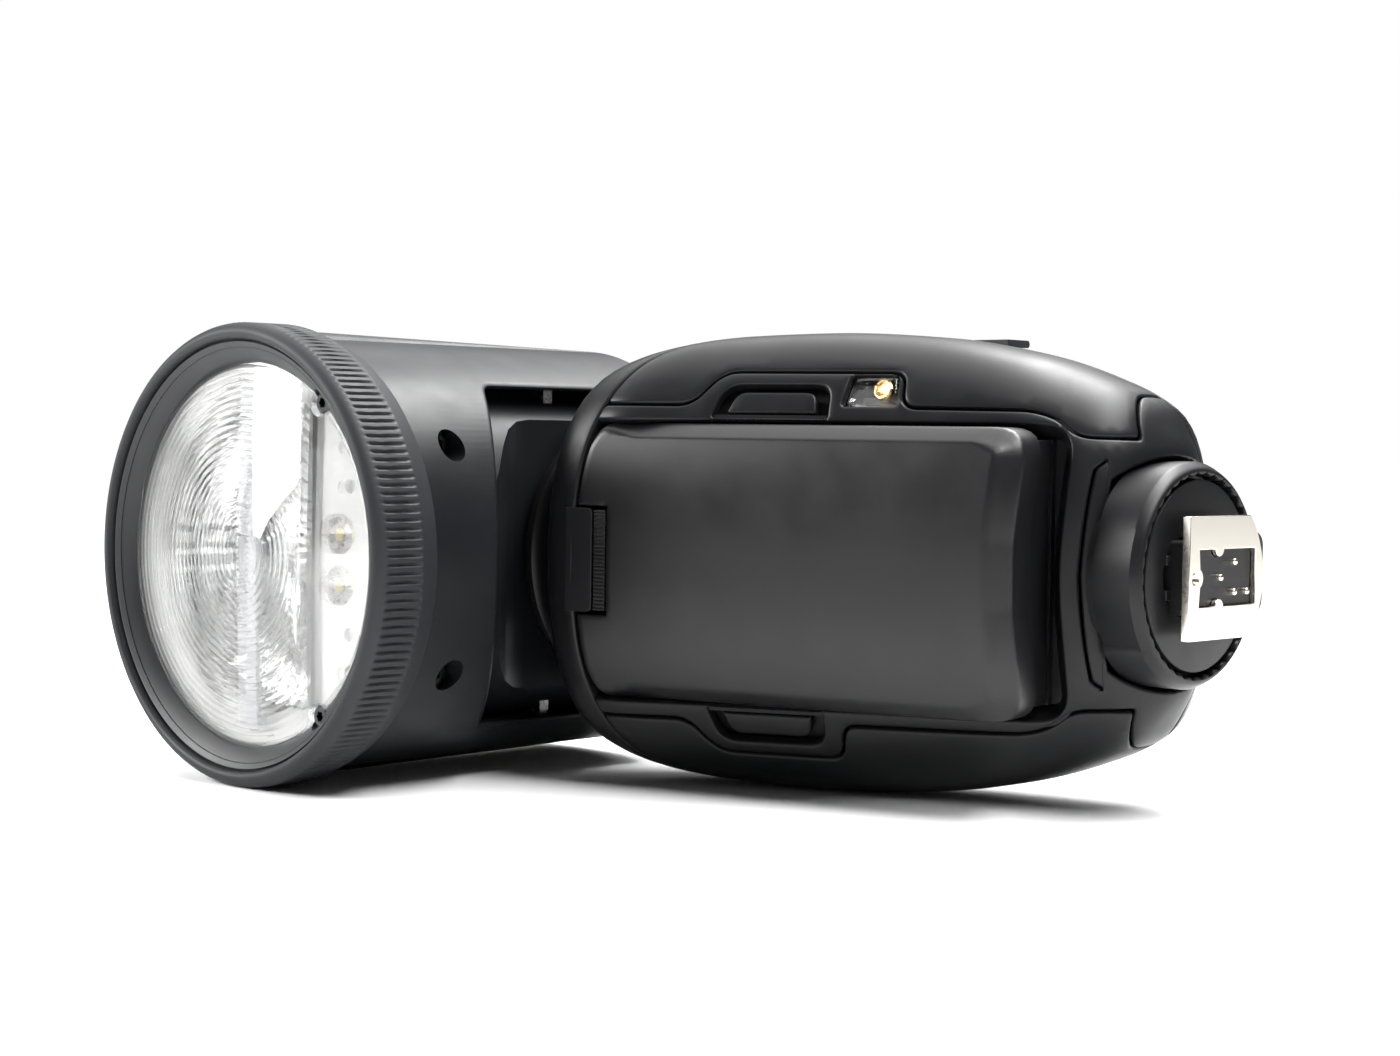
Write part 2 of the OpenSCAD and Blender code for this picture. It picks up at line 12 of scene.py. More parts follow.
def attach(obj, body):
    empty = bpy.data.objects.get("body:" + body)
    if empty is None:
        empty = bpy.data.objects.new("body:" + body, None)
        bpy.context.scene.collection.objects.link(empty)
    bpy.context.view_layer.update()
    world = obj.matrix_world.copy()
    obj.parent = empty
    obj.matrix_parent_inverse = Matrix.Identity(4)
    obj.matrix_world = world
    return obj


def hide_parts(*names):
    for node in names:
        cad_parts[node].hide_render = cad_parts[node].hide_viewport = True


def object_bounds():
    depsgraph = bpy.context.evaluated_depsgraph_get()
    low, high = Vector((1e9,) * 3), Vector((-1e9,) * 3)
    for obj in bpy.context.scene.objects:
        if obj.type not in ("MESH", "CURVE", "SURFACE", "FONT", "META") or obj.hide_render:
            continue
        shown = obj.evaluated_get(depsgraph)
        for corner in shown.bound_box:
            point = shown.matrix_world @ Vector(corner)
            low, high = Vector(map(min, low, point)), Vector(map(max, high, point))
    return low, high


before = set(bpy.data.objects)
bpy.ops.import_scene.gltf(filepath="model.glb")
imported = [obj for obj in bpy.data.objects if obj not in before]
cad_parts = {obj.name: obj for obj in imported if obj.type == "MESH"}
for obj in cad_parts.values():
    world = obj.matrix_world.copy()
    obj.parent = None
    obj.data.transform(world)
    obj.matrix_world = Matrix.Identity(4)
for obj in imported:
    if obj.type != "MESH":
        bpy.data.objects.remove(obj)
CAD_LOW, CAD_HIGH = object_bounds()

# ---------------------------------------------------------------- measures, in mm
MM = 0.001
SHOE_FACE = 1.4
LIP_Y = 88.5
HEAD_X = -127.5
SEAM_X = -89.6
SEAM_Y = -48.6
SEAM_SLOPE = 0.38
SLANT = math.radians(14.4)
ROUND = 2.6
SEAM = 0.3
WALL = 1.8

# Design frame: x = 0 at the shoe plate's inner face, -x toward the head, -y forward, z = 0 in the middle.
ORIGIN = Vector((CAD_HIGH.x - SHOE_FACE * MM, CAD_LOW.y + LIP_Y * MM, (CAD_LOW.z + CAD_HIGH.z) / 2))


def device(p):
    """A point in the design frame, in mm."""
    return Vector(p)


def head(p):
    """Local z runs forward along the head's axis, local x toward the foot, local y up."""
    return Vector((HEAD_X + p[0], -p[2], p[1]))


def foot(p):
    """Local z runs out of the foot, local y back, local x down."""
    return Vector((p[2], p[1], -p[0]))


def face(p):
    """Local x runs down the battery's front, local y goes inward, local z up."""
    c = math.cos(SLANT)
    s = math.sin(SLANT)
    return Vector((SEAM_X + c * p[0] - s * p[1], SEAM_Y + s * p[0] + c * p[1], p[2]))


def swivel(p):
    """Local z runs along the swivel axis toward the foot."""
    return Vector((p[2], -22 + p[1], -p[0]))


def row(p):
    """From the design frame in mm to the shared frame in metres."""
    return ORIGIN + Vector(p) * MM


# ---------------------------------------------------------------- materials
def new_material(name):
    mat = bpy.data.materials.new(name)
    mat.use_nodes = True
    return mat, mat.node_tree, mat.node_tree.nodes["Principled BSDF"]


def noise(tree, scale, detail=3.0, stretch=None):
    """Noise over the object's own coordinates; scale is in features per mm."""
    coord = tree.nodes.new("ShaderNodeTexCoord")
    tex = tree.nodes.new("ShaderNodeTexNoise")
    tex.inputs["Scale"].default_value = scale * 1000
    tex.inputs["Detail"].default_value = detail
    if stretch:
        mapping = tree.nodes.new("ShaderNodeMapping")
        mapping.inputs["Scale"].default_value = stretch
        tree.links.new(coord.outputs["Object"], mapping.inputs["Vector"])
        tree.links.new(mapping.outputs["Vector"], tex.inputs["Vector"])
    else:
        tree.links.new(coord.outputs["Object"], tex.inputs["Vector"])
    return tex.outputs["Fac"]


def ramp(tree, value, low, high, a=0.3, b=0.7):
    """Colour ramp from low to high over part of the value's range."""
    node = tree.nodes.new("ShaderNodeValToRGB")
    node.color_ramp.elements[0].position = a
    node.color_ramp.elements[1].position = b
    node.color_ramp.elements[0].color = (*low, 1)
    node.color_ramp.elements[1].color = (*high, 1)
    tree.links.new(value, node.inputs["Fac"])
    return node.outputs["Color"]


def remap(tree, value, low, high):
    node = tree.nodes.new("ShaderNodeMapRange")
    node.inputs["From Min"].default_value = 0.25
    node.inputs["From Max"].default_value = 0.75
    node.inputs["To Min"].default_value = low
    node.inputs["To Max"].default_value = high
    tree.links.new(value, node.inputs["Value"])
    return node.outputs["Result"]


def bump(tree, shader, height, strength, depth):
    node = tree.nodes.new("ShaderNodeBump")
    node.inputs["Strength"].default_value = strength
    node.inputs["Distance"].default_value = depth * MM
    tree.links.new(height, node.inputs["Height"])
    tree.links.new(node.outputs["Normal"], shader.inputs["Normal"])


def tint(colour, gain):
    return tuple(c * gain for c in colour)


def moulded(name, colour, rough, grain=2.2, depth=0.02, strength=0.35, spread=0.18, **sockets):
    """Moulded plastic or rubber: fine grain, slight mottling and uneven gloss."""
    mat, tree, shader = new_material(name)
    broad = noise(tree, 0.05, 2.0)
    tree.links.new(ramp(tree, broad, tint(colour, 1 - spread), tint(colour, 1 + spread)),
                   shader.inputs["Base Color"])
    tree.links.new(remap(tree, noise(tree, 0.12, 4.0), rough - 0.05, rough + 0.05),
                   shader.inputs["Roughness"])
    bump(tree, shader, noise(tree, grain, 2.0), strength, depth)
    for socket, value in sockets.items():
        shader.inputs[socket.replace("_", " ")].default_value = value
    return mat


def metal(name, colour, rough, stretch=None, strength=0.15, spread=0.08):
    """Metal with faint brushing along one direction."""
    mat, tree, shader = new_material(name)
    shader.inputs["Metallic"].default_value = 1.0
    brushed = noise(tree, 1.6, 3.0, stretch)
    tree.links.new(ramp(tree, brushed, tint(colour, 1 - spread), tint(colour, 1 + spread)),
                   shader.inputs["Base Color"])
    tree.links.new(remap(tree, brushed, rough - 0.04, rough + 0.06), shader.inputs["Roughness"])
    bump(tree, shader, brushed, strength, 0.01)
    return mat


def clear(name, colour, rough, ior, grain=0.4, strength=0.02, alpha=1.0):
    """Clear plastic or glass with faint unevenness."""
    mat, tree, shader = new_material(name)
    shader.inputs["Transmission Weight"].default_value = 1.0
    shader.inputs["Alpha"].default_value = alpha
    shader.inputs["IOR"].default_value = ior
    wave = noise(tree, grain, 2.0)
    tree.links.new(ramp(tree, wave, tint(colour, 0.97), colour), shader.inputs["Base Color"])
    tree.links.new(remap(tree, wave, rough, rough + 0.03), shader.inputs["Roughness"])
    bump(tree, shader, wave, strength, 0.02)
    return mat


CHARCOAL = moulded("charcoal_satin", (0.0055, 0.0056, 0.0064), 0.40, spread=0.1, Specular_IOR_Level=0.22)
HEAD_SKIN = moulded("head_satin", (0.0062, 0.0067, 0.0080), 0.40, spread=0.1, Specular_IOR_Level=0.2)
BATTERY = moulded("battery_satin", (0.0055, 0.0055, 0.0062), 0.34, grain=3.0, strength=0.45, spread=0.12,
                  Specular_IOR_Level=0.32)
RUBBER = moulded("ring_rubber", (0.0115, 0.0122, 0.0150), 0.55, grain=1.5, strength=0.35, spread=0.1,
                 Specular_IOR_Level=0.3)
BLACK = moulded("black_moulding", (0.005, 0.005, 0.0055), 0.45, spread=0.1, Specular_IOR_Level=0.3)
BEZEL = moulded("bezel_black", (0.0100, 0.0104, 0.0118), 0.5, grain=1.2, strength=0.5, spread=0.1,
                Specular_IOR_Level=0.4)
WHITE = moulded("white_moulding", (0.62, 0.62, 0.60), 0.35, strength=0.1, spread=0.03)
DIFFUSER = moulded("ribbed_diffuser", (0.50, 0.51, 0.52), 0.25, strength=0.1, spread=0.04)
STEEL = metal("plain_steel", (0.56, 0.55, 0.53), 0.28)
DARK_STEEL = metal("blackened_steel", (0.05, 0.05, 0.052), 0.35)
NICKEL = metal("nickel_plate", (0.80, 0.76, 0.68), 0.2, (1, 12, 1))
BRASS = metal("turned_brass", (0.72, 0.50, 0.24), 0.25)
COPPER = metal("copper_wire", (0.72, 0.34, 0.18), 0.3, (1, 1, 30), 0.5)
MIRROR = metal("mirror_aluminium", (0.93, 0.93, 0.92), 0.12, None, 0.25, 0.03)
LENS = clear("lens_acrylic", (0.97, 0.975, 0.98), 0.0, 1.49, alpha=0.6)
WINDOW = clear("window_acrylic", (0.95, 0.95, 0.94), 0.0, 1.49, alpha=0.6)
TUBE = clear("xenon_tube_glass", (0.96, 0.95, 0.93), 0.02, 1.46)
AMBER = moulded("amber_lamp", (0.75, 0.42, 0.12), 0.25, strength=0.1)
PHOSPHOR = moulded("led_phosphor", (0.85, 0.70, 0.12), 0.5, grain=4.0)
BOARD = moulded("solder_mask", (0.012, 0.075, 0.035), 0.35, grain=1.0)
WRAP = moulded("cell_wrap", (0.03, 0.12, 0.32), 0.3)
SLEEVE = moulded("capacitor_sleeve", (0.02, 0.022, 0.03), 0.28)
SCREEN = moulded("display_glass", (0.006, 0.006, 0.007), 0.08, strength=0.03, spread=0.05)

# ---------------------------------------------------------------- camera, floor, light
def make_camera():
    azimuth = math.radians(43.31)
    pitch = math.radians(-2.11)
    roll = math.radians(0.81)
    forward = Vector((-math.sin(azimuth) * math.cos(pitch), math.cos(azimuth) * math.cos(pitch),
                      math.sin(pitch)))
    level = Vector((math.cos(azimuth), math.sin(azimuth), 0))
    up = level.cross(forward)
    right = level * math.cos(roll) + up * math.sin(roll)
    up = right.cross(forward)
    data = bpy.data.cameras.new("camera")
    data.lens = 61.98
    data.sensor_fit = "HORIZONTAL"
    data.sensor_width = 36
    data.clip_start = 0.01
    camera = bpy.data.objects.new("camera", data)
    bpy.context.scene.collection.objects.link(camera)
    turn = Matrix((right, up, -forward)).transposed().to_4x4()
    camera.matrix_world = Matrix.Translation(row((192.85, -318.08, 19.73))) @ turn
    bpy.context.scene.camera = camera


def area_light(name, place, target, size, power, colour=(1, 1, 1)):
    data = bpy.data.lights.new(name, "AREA")
    data.shape = "RECTANGLE"
    data.size = size[0]
    data.size_y = size[1]
    data.energy = power
    data.color = colour
    light = bpy.data.objects.new(name, data)
    bpy.context.scene.collection.objects.link(light)
    light.location = place
    light.rotation_euler = (Vector(target) - Vector(place)).to_track_quat("-Z", "Y").to_euler()


def make_stage():
    bm = bmesh.new()
    bmesh.ops.create_circle(bm, cap_ends=True, segments=96, radius=9)
    mesh = bpy.data.meshes.new("floor")
    bm.to_mesh(mesh)
    bm.free()
    floor = bpy.data.objects.new("floor", mesh)
    bpy.context.scene.collection.objects.link(floor)
    floor.location = (0, 0, CAD_LOW.z)
    mesh.materials.append(moulded("pale_floor", (0.88, 0.88, 0.88), 0.9, grain=0.2, strength=0.02,
                                  spread=0.005,
                                  Specular_IOR_Level=0.0))


def make_light():
    """Pale studio: white behind, and broad soft light from above and from the lens side."""
    world = bpy.data.worlds.new("studio")
    bpy.context.scene.world = world
    world.use_nodes = True
    tree = world.node_tree
    back = tree.nodes["Background"]
    back.inputs["Color"].default_value = (1, 1, 1, 1)
    path = tree.nodes.new("ShaderNodeLightPath")
    level = tree.nodes.new("ShaderNodeMapRange")
    level.inputs["To Min"].default_value = 0.12
    level.inputs["To Max"].default_value = 1.0
    tree.links.new(path.outputs["Is Camera Ray"], level.inputs["Value"])
    tree.links.new(level.outputs["Result"], back.inputs["Strength"])
    data = bpy.data.lights.new("sky_soft", "SUN")
    data.energy = 3.6
    data.angle = math.radians(80)
    sun = bpy.data.objects.new("sky_soft", data)
    bpy.context.scene.collection.objects.link(sun)
    sun.rotation_euler = Vector((0.25, -0.35, -1.0)).to_track_quat("-Z", "Y").to_euler()
    area_light("lens_side", (-0.55, -0.6, 0.42), (-0.05, -0.05, 0.04), (0.45, 0.35), 13)
    area_light("overhead", (0.14, 0.12, 0.45), (0.03, 0, 0.05), (0.7, 0.12), 7.0)
    bpy.context.scene.view_settings.view_transform = "Standard"


# ---------------------------------------------------------------- mesh helpers
def put(name, verts, faces, place, mat, slot, body, replaces=(), bevel=0.0, segments=2, sharp=38):
    """A piece from vertices in a local frame in mm: placed, smoothed, bevelled, and riding on its body."""
    mesh = bpy.data.meshes.new(name)
    mesh.from_pydata([row(place(v)) for v in verts], [], faces)
    bm = bmesh.new()
    bm.from_mesh(mesh)
    bmesh.ops.remove_doubles(bm, verts=bm.verts, dist=0.002 * MM)
    bmesh.ops.dissolve_degenerate(bm, edges=bm.edges, dist=0.002 * MM)
    bmesh.ops.recalc_face_normals(bm, faces=bm.faces)
    bm.to_mesh(mesh)
    bm.free()
    obj = bpy.data.objects.new(name, mesh)
    bpy.context.scene.collection.objects.link(obj)
    finish_mesh(obj, sharp)
    mesh.materials.append(mat)
    if bevel:
        soften(obj, bevel, segments, sharp).harden_normals = True
    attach(obj, body)
    if replaces:
        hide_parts(*replaces)
    return obj


def finish_mesh(obj, sharp):
    for poly in obj.data.polygons:
        poly.use_smooth = True
    obj.data.set_sharp_from_angle(angle=math.radians(sharp))


def cut(obj, cutters, operation="DIFFERENCE", sharp=38):
    """Booleans with throwaway cutters, applied at once."""
    for cutter in cutters:
        mod = obj.modifiers.new("cut", "BOOLEAN")
        mod.object = cutter
        mod.operation = operation
        mod.solver = "EXACT"
    graph = bpy.context.evaluated_depsgraph_get()
    mesh = bpy.data.meshes.new_from_object(obj.evaluated_get(graph))
    obj.modifiers.clear()
    obj.data = mesh
    finish_mesh(obj, sharp)
    for cutter in cutters:
        bpy.data.objects.remove(cutter)
    return obj


def throwaway(verts, faces, place):
    """A cutter for a boolean."""
    mesh = bpy.data.meshes.new("cutter")
    mesh.from_pydata([row(place(v)) for v in verts], [], faces)
    bm = bmesh.new()
    bm.from_mesh(mesh)
    bmesh.ops.recalc_face_normals(bm, faces=bm.faces)
    bm.to_mesh(mesh)
    bm.free()
    obj = bpy.data.objects.new("cutter", mesh)
    bpy.context.scene.collection.objects.link(obj)
    return obj


def join(*shapes):
    """Several (verts, faces) shapes as one."""
    verts = []
    faces = []
    for v, f in shapes:
        base = len(verts)
        verts += [tuple(p) for p in v]
        faces += [tuple(i + base for i in q) for q in f]
    return verts, faces


def revolve(profile, segments, closed=True, radius=None, start=0.0, turn=2 * math.pi):
    """Turns a profile of (r, z) round local z. radius(angle, i, r) may change the radius, as for ribs."""
    full = abs(turn - 2 * math.pi) < 1e-6
    rings = segments if full else segments + 1
    n = len(profile)
    verts = []
    for k in range(rings):
        angle = start + turn * k / segments
        for i, (r, z) in enumerate(profile):
            s = radius(angle, i, r) if radius else r
            verts.append((s * math.cos(angle), s * math.sin(angle), z))
    faces = []
    spans = n if closed else n - 1
    for k in range(segments):
        a = k * n
        b = ((k + 1) % rings) * n
        for i in range(spans):
            j = (i + 1) % n
            faces.append((a + i, b + i, b + j, a + j))
    if not full and closed:
        faces.append(tuple(range(n)))
        faces.append(tuple((rings - 1) * n + i for i in range(n)))
    return verts, faces


def extrude(outline, z0, z1, axis="z"):
    """A prism over a plan outline; axis names the direction it is drawn out in."""
    def at(p, h):
        return {"z": (p[0], p[1], h), "y": (p[0], h, p[1]), "x": (h, p[0], p[1])}[axis]
    n = len(outline)
    verts = [at(p, z0) for p in outline] + [at(p, z1) for p in outline]
    faces = [tuple(range(n)), tuple(range(n, 2 * n))]
    faces += [(i, (i + 1) % n, n + (i + 1) % n, n + i) for i in range(n)]
    return verts, faces


def box(x0, x1, y0, y1, z0, z1):
    return extrude([(x0, y0), (x1, y0), (x1, y1), (x0, y1)], z0, z1)


def rounded(corners, radius, steps=6):
    """A closed outline with each corner rounded; radius is one number or one for each corner."""
    out = []
    n = len(corners)
    for i in range(n):
        r = radius[i] if isinstance(radius, (list, tuple)) else radius
        p = Vector(corners[i])
        a = Vector(corners[i - 1]) - p
        b = Vector(corners[(i + 1) % n]) - p
        cut_back = min(r, a.length * 0.48, b.length * 0.48)
        if cut_back < 1e-4:
            out.append(tuple(p))
            continue
        p0 = p + a.normalized() * cut_back
        p2 = p + b.normalized() * cut_back
        for k in range(steps + 1):
            t = k / steps
            q = p0 * (1 - t) ** 2 + p * 2 * t * (1 - t) + p2 * t ** 2
            out.append(tuple(q))
    return out


def rect(x0, x1, y0, y1, radius=0.0, steps=6):
    return rounded([(x0, y0), (x1, y0), (x1, y1), (x0, y1)], radius, steps)


def ring_of(r, n, centre=(0, 0), start=0.0):
    return [(centre[0] + r * math.cos(start + 2 * math.pi * k / n),
             centre[1] + r * math.sin(start + 2 * math.pi * k / n))
            for k in range(n)]


def steps_between(a, b, count):
    return [a + (b - a) * i / count for i in range(count + 1)]


def mirrored(side):
    """A side of a plan outline reflected to the lower half, its direction reversed."""
    return [(p[0], -p[1]) for p in side[::-1]]


def moved(shape, x, y, z=0.0):
    return [(x + v[0], y + v[1], z + v[2]) for v in shape[0]], shape[1]


def loft(loops):
    """A closed solid through a list of loops with the same number of points."""
    n = len(loops[0])
    verts = [v for loop in loops for v in loop]
    faces = [tuple(range(n)), tuple(range((len(loops) - 1) * n, len(loops) * n))]
    for j in range(len(loops) - 1):
        low = j * n
        faces += [(low + i, low + (i + 1) % n, low + n + (i + 1) % n, low + n + i) for i in range(n)]
    return verts, faces


def soften(obj, width, segments, angle):
    """A small bevel on the edges sharper than angle."""
    mod = obj.modifiers.new("edge", "BEVEL")
    mod.width = width * MM
    mod.segments = segments
    mod.limit_method = "ANGLE"
    mod.angle_limit = math.radians(angle)
    return mod


def resample(line, step):
    """Points along a polyline no further apart than step, its own corners kept."""
    out = [tuple(line[0])]
    for a, b in zip(line, line[1:]):
        length = math.dist(a, b)
        count = max(1, math.ceil(length / step))
        for k in range(1, count + 1):
            t = k / count
            out.append((a[0] + (b[0] - a[0]) * t, a[1] + (b[1] - a[1]) * t))
    return out


def trim(line, length):
    """A polyline without its first part of the given length."""
    left = length
    pts = list(line)
    while len(pts) > 1:
        d = math.dist(pts[0], pts[1])
        if d > left:
            t = left / d
            a, b = pts[0], pts[1]
            return [(a[0] + (b[0] - a[0]) * t, a[1] + (b[1] - a[1]) * t)] + pts[1:]
        left -= d
        pts.pop(0)
    return pts


def span(line):
    return sum(math.dist(a, b) for a, b in zip(line, line[1:]))


def join_sides(sides, radii, steps=6):
    """A closed outline from sides laid end to end; radii[i] rounds the corner where side i starts."""
    n = len(sides)
    cuts = []
    for i in range(n):
        limit = 0.45 * min(span(sides[i]), span(sides[i - 1]))
        cuts.append(min(radii[i], limit))
    out = []
    for i in range(n):
        line = trim(sides[i], cuts[i]) if cuts[i] > 0 else list(sides[i])
        after = cuts[(i + 1) % n]
        if after > 0:
            line = trim(line[::-1], after)[::-1]
        out += line if after > 0 else line[:-1]
        if after > 0:
            corner = sides[i][-1]
            start = line[-1]
            follow = trim(sides[(i + 1) % n], after)[0]
            for k in range(1, steps):
                t = k / steps
                out.append(tuple(start[j] * (1 - t) ** 2 + corner[j] * 2 * t * (1 - t) + follow[j] * t ** 2
                                 for j in (0, 1)))
    return out


def area_sign(outline):
    return sum(a[0] * b[1] - b[0] * a[1] for a, b in zip(outline, outline[1:] + outline[:1]))


def inset(outline, distance):
    """The outline moved inward by a small distance."""
    side = 1 if area_sign(outline) > 0 else -1
    n = len(outline)
    out = []
    for i in range(n):
        a, p, b = outline[i - 1], outline[i], outline[(i + 1) % n]
        e0 = Vector((p[0] - a[0], p[1] - a[1]))
        e1 = Vector((b[0] - p[0], b[1] - p[1]))
        if e0.length < 1e-9 or e1.length < 1e-9:
            continue
        n0 = Vector((-e0.y, e0.x)).normalized() * side
        n1 = Vector((-e1.y, e1.x)).normalized() * side
        m = n0 + n1
        if m.length < 1e-6:
            m = n0
        m.normalize()
        reach = distance / max(0.35, m.dot(n0))
        out.append((p[0] + m.x * reach, p[1] + m.y * reach))
    return out


def inside(p, outline):
    hit = False
    n = len(outline)
    for i in range(n):
        x0, y0 = outline[i]
        x1, y1 = outline[(i + 1) % n]
        if (y0 > p[1]) != (y1 > p[1]) and p[0] < (x1 - x0) * (p[1] - y0) / (y1 - y0) + x0:
            hit = not hit
    return hit


def pairs(line):
    return list(zip(line, line[1:] + line[:1]))


def distances(points, segments):
    """Distance from each point to the nearest of the segments."""
    a = np.array([s[0] for s in segments], float)
    b = np.array([s[1] for s in segments], float)
    ab = b - a
    size = np.maximum((ab ** 2).sum(1), 1e-12)
    out = []
    pts = np.array(points, float).reshape(-1, 2)
    for k in range(0, len(pts), 500):
        p = pts[k:k + 500, None, :]
        t = np.clip(((p - a) * ab).sum(2) / size, 0, 1)
        out += list(np.sqrt((((a + ab * t[..., None]) - p) ** 2).sum(2).min(1)))
    return out


ROLL = [(0.0, 0.42), (0.07, 0.22), (0.2, 0.07), (0.42, 0.0)]


def patch(outline, surface, holes=(), roll=ROLL, wall=WALL, step=1.5, along=0.8, open_b=None, drop=None):
    """A closed plate over a curved surface.

    outline and holes are in the surface's own plan coordinates, and surface(a, b, depth) gives the point.
    roll lists (distance from the edge, drop below the surface) for the rolled edge. open_b marks the plan
    line where the plate closes on itself, which gets no edge. drop(a, b, d) replaces roll where it is given.
    """
    outer = resample(outline + outline[:1], along)[:-1]
    inner = [resample(h + h[:1], along)[:-1] for h in holes]
    if area_sign(outer) < 0:
        outer = outer[::-1]
    inner = [h[::-1] if area_sign(h) > 0 else h for h in inner]
    real = [outer] + inner
    segments = [s for line in real for s in pairs(line)]
    rolled = [s for s in segments if not closes(s, open_b)]
    points = []
    edges = []
    for line in real:
        base = len(points)
        n = len(line)
        points += line
        edges += [(base + i, base + (i + 1) % n) for i in range(n)]
    extra = []
    limits = []
    for distance, _ in roll[1:]:
        for k, line in enumerate(real):
            shifted = inset(line, distance if k == 0 else -distance)
            extra += shifted
            limits += [distance] * len(shifted)
    xs = [p[0] for p in outer]
    ys = [p[1] for p in outer]
    rows = int((max(ys) - min(ys)) / (step * 0.87)) + 1
    cols = int((max(xs) - min(xs)) / step) + 2
    far = roll[-1][0] + step * 0.45
    grid = []
    for j in range(rows + 1):
        for i in range(cols + 1):
            grid.append((min(xs) + (i + (j % 2) * 0.5) * step, min(ys) + j * step * 0.87))
    grid = keep_inside(grid, outer, inner, far, segments)
    if extra:
        near = distances(extra, rolled)
        extra = [p for p, d, lim in zip(extra, near, limits) if d > lim * 0.93]
        extra = keep_inside(extra, outer, inner, 0.02, segments)
    if open_b is not None:
        extra = [p for p in extra if abs(abs(p[1]) - open_b) > 0.3]
    points += extra + grid
    flat = [Vector(p) for p in points]
    co, _, tris = delaunay_2d_cdt(flat, edges, [], 1, 1e-5)[:3]
    tris = [t for t in tris if keeps(t, co, outer, inner)]
    plan = [(c.x, c.y) for c in co]
    near = distances(plan, rolled)
    table_d = [r[0] for r in roll]
    table_h = [r[1] for r in roll]
    top = []
    for p, d in zip(plan, near):
        down = drop(p[0], p[1], d) if drop else float(np.interp(d, table_d, table_h))
        top.append(surface(p[0], p[1], down))
    bottom = [surface(p[0], p[1], wall) for p in plan]
    n = len(plan)
    faces = [tuple(t) for t in tris] + [tuple(i + n for i in reversed(t)) for t in tris]
    count = {}
    for t in tris:
        for i in range(len(t)):
            key = (t[i], t[(i + 1) % len(t)])
            count[key] = count.get(key, 0) + 1
    for (i, j) in count:
        if (j, i) not in count:
            if closes((plan[i], plan[j]), open_b):
                continue
            faces.append((j, i, i + n, j + n))
    return top + bottom, faces


def closes(segment, open_b):
    """Whether a segment lies on the plan line where the plate closes on itself."""
    return open_b is not None and all(abs(abs(p[1]) - open_b) < 1e-3 for p in segment)


def keep_inside(points, outer, inner, far, lines):
    kept = [p for p in points if inside(p, outer) and not any(inside(p, h) for h in inner)]
    if not kept:
        return []
    near = distances(kept, lines)
    return [p for p, d in zip(kept, near) if d > far]


def keeps(tri, co, outer, inner):
    c = (sum(co[i].x for i in tri) / len(tri), sum(co[i].y for i in tri) / len(tri))
    return inside(c, outer) and not any(inside(c, h) for h in inner)
# ---------------------------------------------------------------- body form
# Stations of the body: x, front y, back y, half width
STATIONS = [(-101, -39, -14.5, 17), (-98, -46, -8.5, 26.5), (-93, -48.8, -3, 32.4), (-86, -48, 0.5, 35),
            (-75, -42, 5, 36.9), (-60, -35, 9, 37.4), (-45, -28.5, 12.8, 36.6), (-30, -23, 16, 34),
            (-20, -17.8, 17.7, 30.6), (-12, -12.5, 17, 26.3), (-9, -8.5, 13, 22.2), (-7.2, -4.5, 9.5, 19.0),
            (-6.4, -2.5, 7, 16.5)]
GIRTH = 28.0
NECK_X = -13.7
NECK_Z = 17.4
RECESS_R = 18.0
CROWN_LAP = 7.0


def smooth_table(xs, ys):
    """Tangents of a monotone cubic through the points."""
    n = len(xs)
    slope = [(ys[i + 1] - ys[i]) / (xs[i + 1] - xs[i]) for i in range(n - 1)]
    tangent = [slope[0]] + [0.0] * (n - 2) + [slope[-1]]
    for i in range(1, n - 1):
        if slope[i - 1] * slope[i] > 0:
            h0 = xs[i] - xs[i - 1]
            h1 = xs[i + 1] - xs[i]
            w0 = 2 * h1 + h0
            w1 = h1 + 2 * h0
            tangent[i] = (w0 + w1) / (w0 / slope[i - 1] + w1 / slope[i])
    return tangent


def sample(x, xs, ys, tangent):
    i = 0
    while i < len(xs) - 2 and x > xs[i + 1]:
        i += 1
    h = xs[i + 1] - xs[i]
    t = (x - xs[i]) / h
    a = (1 + 2 * t) * (1 - t) ** 2
    b = t * (1 - t) ** 2
    c = t * t * (3 - 2 * t)
    d = t * t * (t - 1)
    return a * ys[i] + b * h * tangent[i] + c * ys[i + 1] + d * h * tangent[i + 1]


ST_X = [s[0] for s in STATIONS]
CURVES = [[s[k] for s in STATIONS] for k in (1, 2, 3)]
TANGENTS = [smooth_table(ST_X, c) for c in CURVES]


def section(x):
    """Middle y, half depth and half width of the body at x."""
    front, back, half = (sample(x, ST_X, c, t) for c, t in zip(CURVES, TANGENTS))
    return (front + back) / 2, (back - front) / 2, half


FINE = [ST_X[0] + (ST_X[-1] - ST_X[0]) * i / 800 for i in range(801)]


def measure_length():
    """Distance along the body from its head end, for each fine x."""
    total = [0.0]
    for a, b in zip(FINE, FINE[1:]):
        ma, da, ha = section(a)
        mb, db, hb = section(b)
        side = hb - ha
        front = (mb - db) - (ma - da)
        total.append(total[-1] + math.sqrt((b - a) ** 2 + (side ** 2 + front ** 2) / 2))
    return total


LENGTH = measure_length()


def along_of(x):
    return float(np.interp(x, FINE, LENGTH))


def x_of(u):
    return float(np.interp(u, LENGTH, FINE))


def skin(x, phi, depth=0.0):
    """Point of the body at x and angle phi: 0 is the front, pi the back, positive upward."""
    mid, deep, half = section(x)
    c = math.cos(phi)
    s = math.sin(phi)
    rho = (abs(c / deep) ** ROUND + abs(s / half) ** ROUND) ** (-1 / ROUND)
    p = Vector((x, mid - rho * c, rho * s))
    if depth:
        step = 0.05
        low = max(x - step, ST_X[0])
        high = min(x + step, ST_X[-1])
        along = skin(high, phi) - skin(low, phi)
        around = skin(x, phi + 0.002) - skin(x, phi - 0.002)
        p = p - along.cross(around).normalized() * depth
    return p


